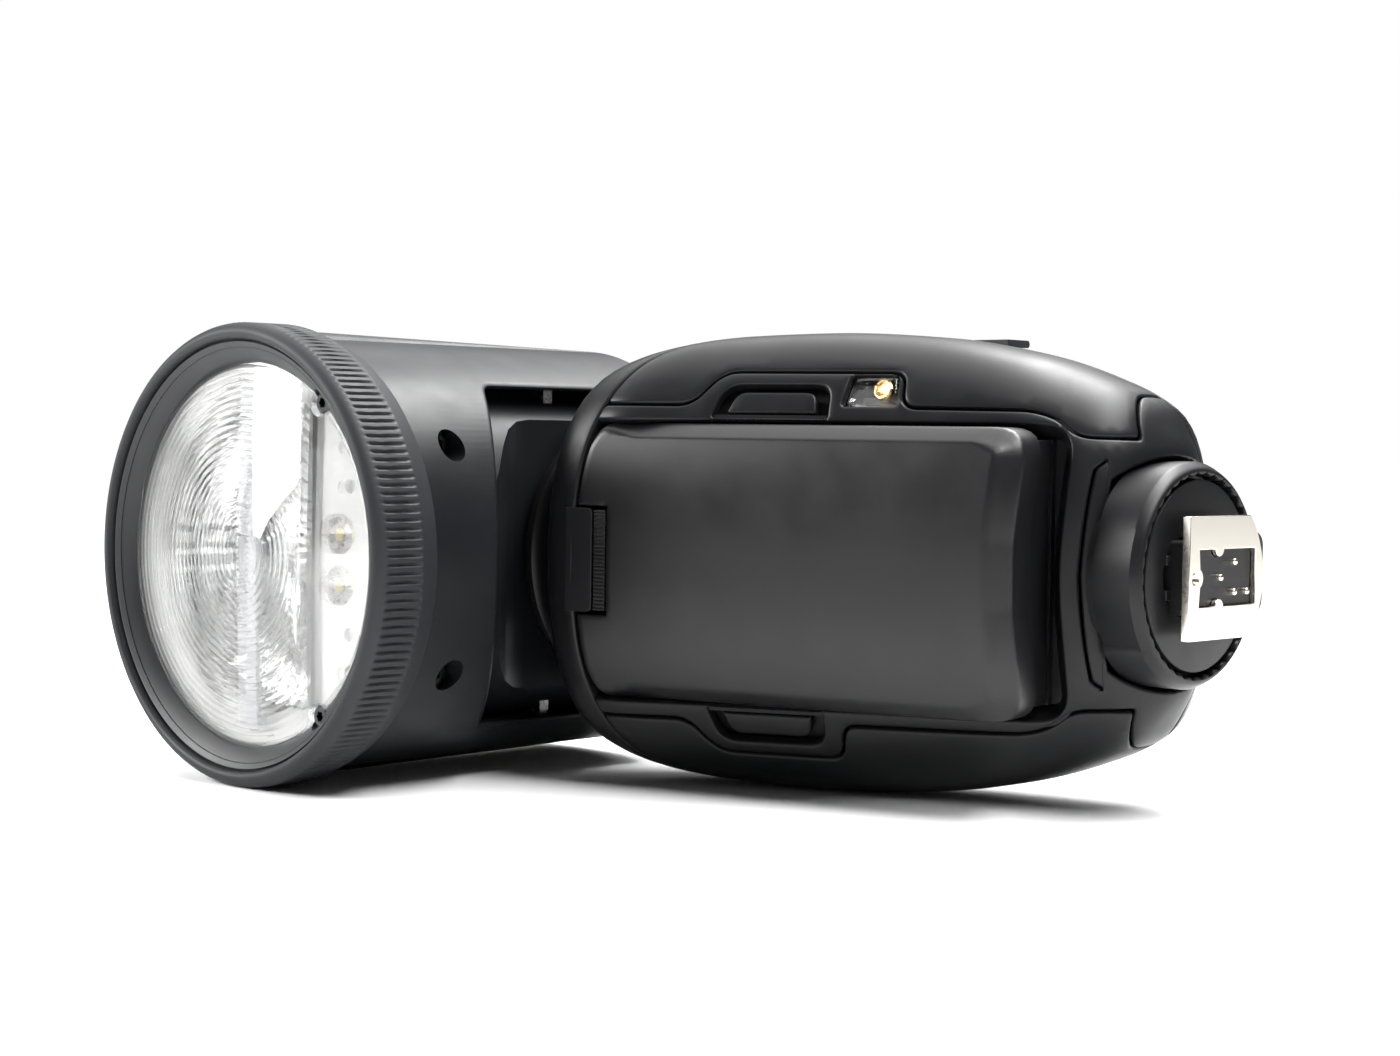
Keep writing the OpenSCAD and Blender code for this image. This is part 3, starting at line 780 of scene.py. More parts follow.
def plan_skin(u, b, depth=0.0):
    return skin(x_of(u), b / GIRTH, depth)


def plan(x, phi):
    return (along_of(x), phi * GIRTH)


def phi_at(x, z):
    """Angle of the front half's point at height z."""
    _, deep, half = section(x)
    share = min(abs(z) / half, 0.99999)
    across = deep * (1 - share ** ROUND) ** (1 / ROUND)
    return math.copysign(math.atan2(abs(z), across), z)


def side_seam_y(x):
    return -22 + 0.35 * (x + 93)


def phi_split(x):
    """Angle of the side seam, which slopes back toward the foot."""
    mid, deep, half = section(x)
    ahead = mid - side_seam_y(x)
    share = min(abs(ahead) / deep, 0.99999)
    return math.atan2(half * (1 - share ** ROUND) ** (1 / ROUND), ahead)


def solve(f, low, high):
    """Root of f between low and high."""
    up = f(high) > 0
    for _ in range(40):
        mid = (low + high) / 2
        if (f(mid) > 0) == up:
            high = mid
        else:
            low = mid
    return (low + high) / 2


def seam_x(phi):
    return solve(lambda x: x - SEAM_X - SEAM_SLOPE * (skin(x, phi).y - SEAM_Y), -100.9, -60)


def lap_x(phi):
    """Where the crown ends behind the side seam."""
    c = math.cos(SLANT)
    s = math.sin(SLANT)
    return solve(lambda x: (x - SEAM_X) * c + (skin(x, phi).y - SEAM_Y) * s - CROWN_LAP, -100.9, -60)


def end_x(phi):
    """Where the body stops round the lock ring."""
    def over(x):
        p = skin(x, phi)
        return RECESS_R - math.hypot(p.y, p.z)
    if over(-11.5) > 0:
        return -11.5
    return solve(over, -11.5, ST_X[-1])


def seam_side(start, stop, count=24):
    return [plan(seam_x(phi), phi) for phi in steps_between(start, stop, count)]


def split_side(x0, x1, sign=1, count=24):
    return [plan(x, sign * phi_split(x)) for x in steps_between(x0, x1, count)]


def height_side(points, sign=1, step=1.5):
    """A side given by (x, z) points seen from the front."""
    fine = resample(points, step)
    return [plan(x, phi_at(x, sign * z)) for x, z in fine]


def split_start():
    """x where the crown seam meets the side seam."""
    return solve(lambda x: x - SEAM_X - SEAM_SLOPE * (side_seam_y(x) - SEAM_Y), -95, -60)


def lap_start():
    c = math.cos(SLANT)
    s = math.sin(SLANT)
    return solve(lambda x: (x - SEAM_X) * c + (side_seam_y(x) - SEAM_Y) * s - CROWN_LAP, -100, -60)


def split_end():
    """x where the side seam reaches the body's foot end."""
    return solve(lambda x: math.hypot(*skin(x, phi_split(x)).yz) * -1 + RECESS_R, -11.5, ST_X[-1])


COVER_Z = 25.2
COVER_EDGE = [(-73.8, 25.2), (-70.6, 30.6), (-51.5, 30.6)]
COVER_WINDOW = [(-43.2, 30.6), (-41.8, 25)]
COVER_PLAIN = [(-49.8, 25)]
COVER_TAIL = [(-23.4, 24.8), (-20, 23.7), (-16.5, 20.8), (-9.9, 20.6)]


def cover_front(sign, x0):
    """The cover's lower border from the crown seam to the foot."""
    window = COVER_WINDOW if sign > 0 else COVER_PLAIN
    corners = [(x0, COVER_Z)] + COVER_EDGE + window + COVER_TAIL
    flat = rounded_open(corners, 2.2)
    return height_side(flat, sign, 0.9)


def rounded_open(points, radius, steps=5):
    """An open polyline with its inner corners rounded."""
    out = [points[0]]
    for a, p, b in zip(points, points[1:], points[2:]):
        pa = Vector(a) - Vector(p)
        pb = Vector(b) - Vector(p)
        reach = min(radius, pa.length * 0.45, pb.length * 0.45)
        p0 = Vector(p) + pa.normalized() * reach
        p2 = Vector(p) + pb.normalized() * reach
        for k in range(steps + 1):
            t = k / steps
            out.append(tuple(p0 * (1 - t) ** 2 + Vector(p) * 2 * t * (1 - t) + p2 * t ** 2))
    out.append(points[-1])
    return out


def cover_end(sign, count=10):
    """The cover's end near the foot, from its front corner round to the side seam."""
    x0 = COVER_TAIL[-1][0]
    x1 = -13.4
    start = phi_at(x0, COVER_TAIL[-1][1])
    stop = phi_split(x1)
    out = []
    for i in range(count + 1):
        t = i / count
        x = x0 + (x1 - x0) * min(1.0, t * 1.8) ** 0.8
        out.append(plan(x, sign * (start + (stop - start) * t)))
    return out


def cover_outline(sign):
    first = solve(lambda p: abs(skin(seam_x(p), p).z) - COVER_Z, 0.3, 1.4)
    split0 = split_start()
    seam = seam_side(sign * first, sign * phi_split(split0))
    split = split_side(split0, -13.4, sign)
    end = cover_end(sign)
    low = cover_front(sign, x_of(seam[0][0]))
    return join_sides([seam, split, end[::-1], low[::-1]], [1.2, 0.8, 0.8, 1.2])


def bay_plan(lx, z, sign=1):
    """A point of the bay's edge, given down the battery's face, moved onto the body."""
    x = SEAM_X + lx * math.cos(SLANT)
    for _ in range(12):
        y = skin(x, phi_at(x, z)).y
        ahead = (y - SEAM_Y - math.sin(SLANT) * lx) / math.cos(SLANT)
        x = SEAM_X + math.cos(SLANT) * lx - math.sin(SLANT) * ahead
    return plan(x, phi_at(x, z))


def make_crown():
    split0 = split_start()
    lap0 = lap_start()
    phi_a = phi_split(split0)
    phi_b = phi_split(lap0)
    head_end = [plan(ST_X[0], -math.pi + 2 * math.pi * i / 160) for i in range(161)]
    back_up = [plan(lap_x(phi), phi) for phi in steps_between(math.pi, phi_b, 24)]
    step_up = split_side(lap0, split0, 1, 12)
    seam = seam_side(phi_a, -phi_a, 90)
    step_low = split_side(split0, lap0, -1, 12)
    back_low = mirrored(back_up)
    close_up = [head_end[-1], back_up[0]]
    close_low = [back_low[-1], head_end[0]]
    outline = join_sides([head_end, close_up, back_up, step_up, seam, step_low, back_low, close_low],
                         [0] * 8)
    shape = patch(outline, plan_skin, open_b=math.pi * GIRTH, step=1.6)
    cap = ring_plate([tuple(skin(ST_X[0] + 0.02, 2 * math.pi * i / 96, 0.1)) for i in range(96)], 8.7, -22,
                     -100.9, 1.8)
    tab = extrude(rounded([(-1.5, -8.4), (3.6, -8.4), (3.6, 8.4), (-1.5, 8.4)], [0, 1.0, 1.0, 0]), 0.12,
                  1.6, "y")
    crown = put("crown", *shape, device, CHARCOAL, "charcoal_plastic", "body", ["crown_cap"])
    put("crown_cap_ring", *cap, device, CHARCOAL, "charcoal_plastic", "body")
    put("crown_tongue", *tab, face, CHARCOAL, "charcoal_plastic", "body", bevel=0.18)
    return crown


def ring_plate(outer, radius, middle_y, x, thick):
    """A flat plate across x from an outer loop to a round hole."""
    n = len(outer)
    verts = []
    for k in range(n):
        angle = math.atan2(outer[k][2], outer[k][1] - middle_y)
        inner = (middle_y + radius * math.cos(angle), radius * math.sin(angle))
        for depth in (0, thick):
            verts.append((x + depth, outer[k][1], outer[k][2]))
            verts.append((x + depth, inner[0], inner[1]))
    faces = []
    for k in range(n):
        a = 4 * k
        b = 4 * ((k + 1) % n)
        faces += [(a, b, b + 1, a + 1), (a + 2, a + 3, b + 3, b + 2), (a + 1, b + 1, b + 3, a + 3),
                  (a, a + 2, b + 2, b)]
    return verts, faces


def make_covers():
    for sign, name, node in ((1, "cover_upper", "upper_cover"), (-1, "cover_lower", "lower_cover")):
        outline = inset(cover_outline(sign), SEAM)
        put(name, *patch(outline, plan_skin, step=1.5), device, CHARCOAL, "charcoal_plastic", "body", [node])


BAY_Z = 22.7
BAY_END = 79.2


def bay_line():
    corners = [(1.0, BAY_Z), (BAY_END, BAY_Z), (BAY_END - 0.4, 12), (BAY_END - 1.3, 0), (BAY_END - 0.4, -12),
               (BAY_END, -BAY_Z), (1.0, -BAY_Z)]
    loop = rounded(corners, [0, 6, 5, 6, 5, 6, 0], 8)
    return resample(loop, 1.2)


def make_front():
    """The housing round the battery: a strip above and below the bay, joined at the foot end."""
    first = solve(lambda p: abs(skin(seam_x(p), p).z) - COVER_Z, 0.3, 1.4)
    bay = [bay_plan(lx, z) for lx, z in bay_line()]
    meet = solve(lambda p: skin(seam_x(p), p).z - BAY_Z, 0.3, 1.4)
    bay[0] = plan(seam_x(meet), meet)
    bay[-1] = plan(seam_x(-meet), -meet)
    seam_up = seam_side(meet, first, 4)
    cover_up = cover_front(1, x_of(seam_up[-1][0]))
    end_up = cover_end(1)
    tail = split_side(-13.4, split_end(), 1, 12)
    phi_end = phi_split(split_end())
    ring_up = ring_side(phi_end)
    neck = [ring_up[-1], plan(NECK_X + 1.2, phi_at(NECK_X + 1.2, NECK_Z)),
            plan(NECK_X, phi_at(NECK_X, NECK_Z - 1.4))]
    neck += [plan(NECK_X - 0.9 * (1 - abs(z) / 16), phi_at(NECK_X, z)) for z in range(14, -15, -2)]
    neck += [(p[0], -p[1]) for p in neck[2::-1]]
    cover_low = cover_front(-1, x_of(seam_up[-1][0]))[::-1]
    sides = [seam_up, cover_up, end_up, tail, ring_up, neck]
    sides += [mirrored(ring_up), mirrored(tail), mirrored(end_up), cover_low, mirrored(seam_up), bay[::-1]]
    outline = join_sides(sides, [0.3, 1.2, 0.8, 0, 0.6, 0, 0, 0.6, 0, 0.8, 1.2, 0.3])
    outline = inset(outline, 0.05)
    holes = [recess_outline(1), recess_outline(-1), window_outline()]
    shape = patch(outline, plan_skin, holes, step=1.4, along=0.7)
    return put("housing_front", *shape, device, CHARCOAL, "charcoal_plastic", "body", ["front_housing"])


def ring_side(phi_end):
    """The body's foot end from the side seam to the neck pocket."""
    def where(phi):
        return abs(skin(end_x(phi), phi).z) - NECK_Z
    stop = solve(where, 0.35, phi_end)
    return [plan(end_x(phi), phi) for phi in steps_between(phi_end, stop, 16)]


RECESS = [(-70.3, 23.3), (-69.6, 28.7), (-53.4, 28.7), (-52.6, 23.3)]


def recess_outline(sign):
    loop = rounded(RECESS, [0.5, 2.6, 2.6, 0.5])
    fine = resample(loop + loop[:1], 0.8)[:-1]
    return [plan(x, phi_at(x, sign * z)) for x, z in fine]


def window_outline():
    loop = rounded([(-51.0, 25.3), (-51.0, 30.2), (-43.9, 30.2), (-42.6, 25.3)], 0.6)
    fine = resample(loop + loop[:1], 0.8)[:-1]
    return [plan(x, phi_at(x, z)) for x, z in fine]


def make_recess(sign, name):
    """The finger recess's tray and the release button standing in it."""
    loop = resample(rounded([(-71.4, 22.9), (-70.6, 29.8), (-52.4, 29.8), (-51.6, 22.9)], 2.6), 0.8)
    tray = [plan(x, phi_at(x, sign * z)) for x, z in loop]
    put("recess_tray_" + name,
        *patch(tray, lambda u, b, d: plan_skin(u, b, d + 3.0), roll=[(0, 0), (0.5, 0)], wall=1.2, step=2),
        device, BLACK, "black_plastic", "body")
    pad = resample(rounded([(-68.3, 24.15), (-67.6, 27.7), (-55.4, 27.7), (-54.6, 24.15)],
                           [0.4, 1.8, 1.8, 0.4]), 0.7)
    plate = [plan(x, phi_at(x, sign * z)) for x, z in pad]
    put("release_" + name, *patch(plate, lambda u, b, d: plan_skin(u, b, d + 0.5), wall=1.5, step=1.2),
        device, CHARCOAL, "charcoal_plastic", name + "_release", [name + "_release"])


def make_rear():
    split1 = split_end()
    lap0 = lap_start()
    phi_b = phi_split(lap0)
    phi_e = phi_split(split1)
    lap_up = [plan(lap_x(phi), phi) for phi in steps_between(phi_b, math.pi, 24)]
    split = split_side(split1, lap0, 1, 60)
    end = [plan(end_x(phi), phi) for phi in steps_between(math.pi, phi_e, 30)]
    low = [[(p[0], 2 * math.pi * GIRTH - p[1]) for p in side[::-1]] for side in (lap_up, split, end)]
    outline = join_sides([end, split, lap_up] + low, [0, 0.6, 0.6, 0, 0.6, 0.6])
    outline = inset(outline, SEAM)
    shape = patch(outline, plan_skin, step=1.6)
    rear = put("housing_rear", *shape, device, CHARCOAL, "charcoal_plastic", "body", ["rear_housing"])
    cutters = [throwaway(*extrude(rect(13.1, 45.1, -19.5, 19.5, 2), 38, 56, "y"), face),
               throwaway(*extrude(ring_of(9.8, 64, (58, 0)), 38, 56, "y"), face)]
    for p in KEY_PLACES:
        cutters.append(throwaway(*extrude(ring_of(3.1, 40, p), 38, 56, "y"), face))
    cutters.append(throwaway(*extrude(rect(71.7, 75.9, -4.3, 4.3, 0.8), 38, 56, "y"), face))
    for p in SCREW_PLACES:
        cutters.append(throwaway(*extrude(ring_of(2, 24, p), 30, 56, "y"), face))
    port = [(-49.2, -3.2), (-36.8, -3.2), (-36.8, 3.4), (-49.2, 3.4)]
    cutters.append(throwaway(*extrude(rounded(port, 0.6), 33, 40), device))
    cut(rear, cutters)
    return rear


KEY_PLACES = [(52.5, 17), (63.5, 17), (52.5, -17), (63.5, -17)]
SCREW_PLACES = [(8, 20), (8, -20), (76, 20), (76, -20)]
# ---------------------------------------------------------------- battery
def soft_step(t):
    t = max(0.0, min(1.0, t))
    return t * t * (3 - 2 * t)


def crowned(z):
    """How far the battery's face falls away at height z."""
    return 2.1 * (abs(z) / 19.2) ** 2.8


def battery_skin(lx, z, depth=0.0):
    slide = 0.55 * max(0.0, depth - 0.5) * soft_step(1 - lx / 14)
    return Vector((lx + slide, crowned(z) + depth, z))


def battery_drop(lx, z, d):
    """The rolled edge, and the chamfer that grows from nothing at the crown and widens at the foot."""
    edge = float(np.interp(d, [0, 0.07, 0.2, 0.42], [0.42, 0.22, 0.07, 0]))
    beside = max(soft_step((abs(z) - 10) / 5), soft_step((lx - 60) / 8))
    grow = 0.5 * soft_step((lx - 0.5) / 10) + 0.5 * max(0.0, min(1.0, (lx - 0.5) / 10))
    grow *= beside
    wide = 1 + 0.75 * soft_step((lx - 68) / 6)
    width = 2.3 * max(grow, 0.05) * wide
    t = 1 - d / width
    if t < -0.1:
        ramp_part = 0.0
    elif t < 0.1:
        ramp_part = (t + 0.1) ** 2 / 0.4
    else:
        ramp_part = t
    return edge + ramp_part * 2.0 * grow * (1 + 0.35 * soft_step((lx - 68) / 6))


def battery_outline():
    def left(z):
        return (0.55 + 0.7055 * crowned(z), z)
    upper = [left(z) for z in np.linspace(8.75, 18.5, 14)]
    lower = [left(z) for z in np.linspace(-18.5, -8.75, 14)]
    notch = [lower[-1], (6.2, -8.75), (6.2, 8.75), upper[0]]
    top = [upper[-1], (3.6, 22.2), (76.2, 22.2)]
    foot_side = [(76.2, 22.2), (75.7, 13), (75.0, 5), (75.0, -5), (75.7, -13), (76.2, -22.2)]
    low = [(76.2, -22.2), (3.6, -22.2), lower[0]]
    return join_sides([upper, rounded_open(top, 5.5), foot_side, rounded_open(low, 5.5), lower, notch],
                      [0.5, 0.8, 5.5, 5.5, 0.8, 0.5])


CHAMFER_RINGS = [(d, 0.0) for d in (0, 0.07, 0.2, 0.42, 1.2, 2.0, 2.3, 2.6, 3.2, 3.8, 4.4)]


def make_battery():
    shape = patch(battery_outline(), battery_skin, roll=CHAMFER_RINGS, wall=9.4, step=1.7, drop=battery_drop)
    put("battery_shell", *shape, face, BATTERY, "battery_plastic", "battery", ["battery_case"])
    core = rounded([(9.5, 9.6), (74.8, 9.6), (74.8, 18.4), (14.5, 18.4)], 0.8)
    put("battery_core", *extrude(core, -20.3, 20.3), face, BATTERY, "battery_plastic", "battery", bevel=0.3)
    teeth = []
    count = 27
    for i in range(count):
        z0 = -8.2 + 16.4 * i / count
        pitch = 16.4 / count
        teeth += [(z0 + pitch * 0.15, 0.16), (z0 + pitch * 0.3, 0.0), (z0 + pitch * 0.7, 0.0),
                  (z0 + pitch * 0.85, 0.16)]
    bar = [(p[1], p[0]) for p in teeth] + [(1.9, 8.2), (1.9, -8.2)]
    put("battery_latch_bar", *extrude(bar, 4.0, 6.1, "x"), face, BATTERY, "battery_plastic", "battery_latch",
        ["battery_latch"], bevel=0.08)


# ---------------------------------------------------------------- head
CASING_R = 35.5
TILT = (5.5, 22.0)
HEAD_SCREW_Y = 18.2
HEAD_SCREW_Z = 68
LENS_SCREW_X = 19.0
LENS_SCREW_Y = 24.6
LAMP_X = 20.5
LAMP_Y = 4
TUBE_Z = 67.5
CHEEK = 27.7


def chamfered_solid(r, back, front, edge, swell=0.0):
    profile = [(0.0, back), (r - edge, back), (r - edge * 0.93, back + edge * 0.02),
               (r - edge * 0.86, back + edge * 0.08),
               (r - edge * 0.05, back + edge * 0.92), (r - edge * 0.01, back + edge * 0.98),
               (r, back + edge * 1.08),
               (r + swell, front), (0.0, front)]
    return revolve(profile, 192, closed=False)


POCKET_FLOOR = [(21.5, 43.5), (21.9, 46.5), (23.2, 49.5), (25.4, 52.5), (27.8, 55.5), (29.6, 58.5),
                (30.6, 63.0), (30.6, 70)]
POCKET_FLARE = [(0.0, 2.2), (0.03, 1.3), (0.14, 0.8), (0.36, 0.4), (0.7, 0.13), (1.2, 0.0), (1.5, -0.25)]


def pocket_side(g):
    """The cut-out seen along y: round the drum, along the floor and out through the casing."""
    drum = 16 - g
    side = [(70, -30), (TILT[0], -30), (TILT[0], TILT[1] - drum)]
    for k in range(1, 13):
        a = -math.pi / 2 + math.pi / 2 * k / 12
        side.append((TILT[0] + drum * math.cos(a), TILT[1] + drum * math.sin(a)))
    return side + [(x - g, f) for x, f in POCKET_FLOOR] + [(70, 70)]


def pocket_plan(g):
    """The cut-out seen along x: straight cheeks and a bowed front edge."""
    half = CHEEK + g
    reach = 50 + g
    corner_f = 11.8 + math.sqrt(reach ** 2 - half ** 2)
    limit = math.asin(half / reach)
    arc = [(reach * math.sin(limit - 2 * limit * k / 40),
            11.8 + reach * math.cos(limit - 2 * limit * k / 40))
           for k in range(41)]
    sides = [arc, [(-half, corner_f), (-half, -30)], [(-half, -30), (half, -30)],
             [(half, -30), (half, corner_f)]]
    loop = join_sides(sides, [1.6, 0, 0, 1.6])
    return resample(loop + loop[:1], 1.2)[:-1]


def pocket_prism(g, low_x):
    """The cut-out's plan drawn out along x, with a rounded lip where it leaves the casing."""
    loop = pocket_plan(g)
    n = len(loop)
    loops = []
    for out, depth in POCKET_FLARE if g == 0 else []:
        ring = []
        for i in range(n):
            along = (Vector(loop[(i + 1) % n]) - Vector(loop[i - 1])).normalized()
            outward = Vector((along.y, -along.x))
            if outward.dot(Vector(loop[i]) - Vector((0, 20))) < 0:
                outward = -outward
            q = Vector(loop[i]) + outward * out
            ring.append((math.sqrt(max(CASING_R ** 2 - q.x ** 2, 1)) - depth, q.x, q.y))
        loops.append(ring)
    low = [(low_x, p[0], p[1]) for p in loop]
    last = loops[-1] if loops else low
    loops.append([(75, p[1], p[2]) for p in last])
    return throwaway(*loft([low] + loops), head)


def pocket_solids(g=0.0):
    """The cut-out: a straight part over the floor, and a round part that keeps its depth at the cheeks."""
    side = pocket_side(g)
    straight = throwaway(*loft([[(x, y, f) for x, f in side] for y in (-45, 45)]), head)
    ring = throwaway(*revolve([(31.2 - g, 14), (62, 14), (62, 72), (31.2 - g, 72)], 192), head)
    return [cut(straight, [pocket_prism(g, -12)], "INTERSECT"), cut(ring, [pocket_prism(g, 8)], "INTERSECT")]


def slot_solid(g=0.0):
    return throwaway(*box(TILT[0] - 10.8 - g, 70, -13.6 - g, 13.6 + g, -30, TILT[1] + 10.8 + g), head)


def well(r, s, x0, x1):
    verts, faces = extrude(ring_of(r, 40), x0, x1)
    return throwaway([(v[2], s * HEAD_SCREW_Y + v[0], HEAD_SCREW_Z + v[1]) for v in verts], faces, head)


def head_shell(name, x0, x1, upper, node):
    shell = put(name, *chamfered_solid(CASING_R, 8, 75.2, 2.4, 1.0 if upper else 0.0), head, HEAD_SKIN,
                "charcoal_plastic", "head", [node])
    void = throwaway(*chamfered_solid(33.7, 9.8, 77, 2.0), head)
    blocks = pocket_solids(1.8) + [slot_solid(1.8)]
    for s in (-1, 1):
        blocks.append(well(4.2, s, 20, 40))
    cut(void, blocks)
    if upper:
        across = [(x0, -50), (2.6, -50), (2.6, -36.6), (x1, -34.95), (x1, 34.95), (2.6, 36.6), (2.6, 50),
                  (x0, 50)]
    else:
        across = [(x0, -50), (x1, -50), (x1, 50), (x0, 50)]
    cut(shell, [throwaway(*extrude(across, 0, 100), head)], "INTERSECT")
    cut(shell, [void])
    cutters = pocket_solids() + [slot_solid()]
    axle = extrude(ring_of(5, 48, TILT), -21, 21, "y")
    cutters.append(throwaway(*axle, head))
    if not upper:
        cutters += [well(2.55, s, 25.5, 50) for s in (-1, 1)]
    cut(shell, cutters)
    weighted = shell.modifiers.new("even", "WEIGHTED_NORMAL")
    weighted.keep_sharp = True
    weighted.weight = 100
    return shell


def socket_screw(name, place, r, tall, body, slot_name, mat, replaces=(), lobes=6):
    """A round screw head with a lobed socket sunk in it, drawn along local z."""
    lobe = []
    for k in range(lobes * 6):
        a = 2 * math.pi * k / (lobes * 6)
        lobe.append((r * (0.46 + 0.07 * math.cos(lobes * a)) * math.cos(a),
                     r * (0.46 + 0.07 * math.cos(lobes * a)) * math.sin(a)))
    n = len(lobe)
    loops = []
    for radius, z in ((r, 0), (r, tall * 0.72), (r * 0.94, tall * 0.9), (r * 0.82, tall), (r * 0.6, tall)):
        loops.append([(radius * math.cos(2 * math.pi * k / n), radius * math.sin(2 * math.pi * k / n),
                       z) for k in range(n)])
    loops.append([(x, y, tall) for x, y in lobe])
    loops.append([(x * 0.96, y * 0.96, tall * 0.35) for x, y in lobe])
    return put(name, *loft(loops), place, mat, slot_name, body, replaces, sharp=30)


RIBS = 172
RING_PROFILE = [(35.25, 75.75), (35.6, 75.5), (36.1, 75.5), (36.6, 76.6), (37.15, 78.3), (37.35, 78.9),
                (37.45, 79.2),
                (37.5, 79.6), (37.5, 80.0), (37.5, 81.5), (37.5, 83.5),
                (37.5, 85.4), (37.5, 86.0), (37.5, 86.4),
                (37.4, 86.8), (37.15, 87.35), (36.8, 87.85), (36.3, 88.25),
                (35.8, 88.42), (35.3, 88.3), (34.95, 87.9),
                (34.85, 87.4), (34.85, 86.9), (35.25, 86.9)]
RIB_DEPTH = {7: 0.1, 8: 0.34, 9: 0.42, 10: 0.42, 11: 0.42, 12: 0.3, 13: 0.1}


def make_ring():
    def ribbed(angle, i, r):
        wave = 0.5 - 0.5 * math.cos(RIBS * angle)
        return r - RIB_DEPTH.get(i, 0.0) * (1 - soft_step(wave * 2.2))
    grip = revolve(RING_PROFILE, RIBS * 8, radius=ribbed)
    put("zoom_grip", *grip, head, RUBBER, "dark_rubber", "zoom_ring", ["zoom_ring_grip"], sharp=60)


def make_bezel():
    funnel = [(34.55, 87.1), (34.4, 87.35), (34.1, 87.25), (31.1, 84.6), (30.75, 84.1), (30.7, 83.5),
              (30.9, 83.2),
              (31.9, 83.0), (31.9, 80.5), (31.6, 80.2), (31.6, 72.6), (33.3, 72.6), (33.3, 86.0)]
    bezel = put("lens_funnel", *revolve(funnel, 160), head, BEZEL, "black_plastic", "head", ["lens_bezel"],
                sharp=45)
    cutters = []
    for s in (-1, 1):
        hole = extrude(ring_of(2.15, 40), 83.1, 95)
        cutters.append(throwaway(*moved(hole, LENS_SCREW_X, s * LENS_SCREW_Y), head))
    cut(bezel, cutters, sharp=45)
    for s, name in ((1, "upper"), (-1, "lower")):
        place = lambda v, s=s: head((LENS_SCREW_X + v[0], s * LENS_SCREW_Y + v[1], 83.2 + v[2]))
        socket_screw("lens_screw_" + name, place, 1.75, 1.5, "head", "steel", DARK_STEEL, ["lens_screws"])


LENS_CLEAR = 12.0


def dome(r):
    return 87.0 - 1.9 * (r / 31.4) ** 2


def make_lens():
    """Clear front: a shallow dome with fine concentric steps, smooth over the two lamps."""
    front = [(0.0, 87.0)]
    for k in range(1, 105):
        r = 0.3 * k
        step = 0.1 if k % 4 < 2 and r > 3 else 0.0
        front.append((r, dome(r) - step))
    back = []
    for k in range(29, 2, -1):
        back.append((k * 1.05 + 0.02, 83.75))
        back.append((k * 1.05 - 0.08, 83.5))
    verts, faces = revolve(front + [(31.3, 84.6), (31.3, 83.6), (30.8, 83.6)] + back + [(0.0, 83.5)], 128,
                           closed=False)
    smooth = []
    for x, y, z in verts:
        t = soft_step((x - LENS_CLEAR) / 1.5)
        r = math.hypot(x, y)
        if z > 84.7:
            smooth.append((x, y, z * (1 - t) + dome(r) * t))
        elif z < 83.8 and r < 30.7:
            smooth.append((x, y, z * (1 - t) + 83.6 * t))
        else:
            smooth.append((x, y, z))
    lens = put("front_lens", smooth, faces, head, LENS, "clear_lens", "head", ["fresnel_lens"], sharp=25)
    cutters = []
    for s in (-1, 1):
        hole = extrude(ring_of(2.2, 32), 80, 95)
        cutters.append(throwaway(*moved(hole, LENS_SCREW_X, s * LENS_SCREW_Y), head))
    cut(lens, cutters, sharp=25)
    strip = []
    count = 60
    for k in range(count):
        y = -27.5 + 55 * k / count
        strip += [(y, 83.0), (y + 0.45, 83.0), (y + 0.5, 83.4), (y + 0.9, 83.4)]
    strip += [(27.5, 82.6), (-27.5, 82.6)]
    put("lens_strip", *extrude(strip, -2.4, 2.4, "x"), head, DIFFUSER, "white_plastic", "head", sharp=25)


def arc_band(a, b, wide, z0, z1):
    """A thin elliptical band standing round the flash tube."""
    n = 64
    verts = []
    for k in range(n):
        angle = 2 * math.pi * k / n
        thick = wide * (0.35 + 0.65 * abs(math.cos(angle)))
        for z in (z0, z1):
            verts.append((a * math.cos(angle), b * math.sin(angle), z))
            verts.append(((a - thick) * math.cos(angle), (b - thick) * math.sin(angle), z))
    faces = []
    for k in range(n):
        p = 4 * k
        q = 4 * ((k + 1) % n)
        faces += [(p, q, q + 1, p + 1), (p + 2, p + 3, q + 3, q + 2), (p, p + 2, q + 2, q),
                  (p + 1, q + 1, q + 3, p + 3)]
    return verts, faces


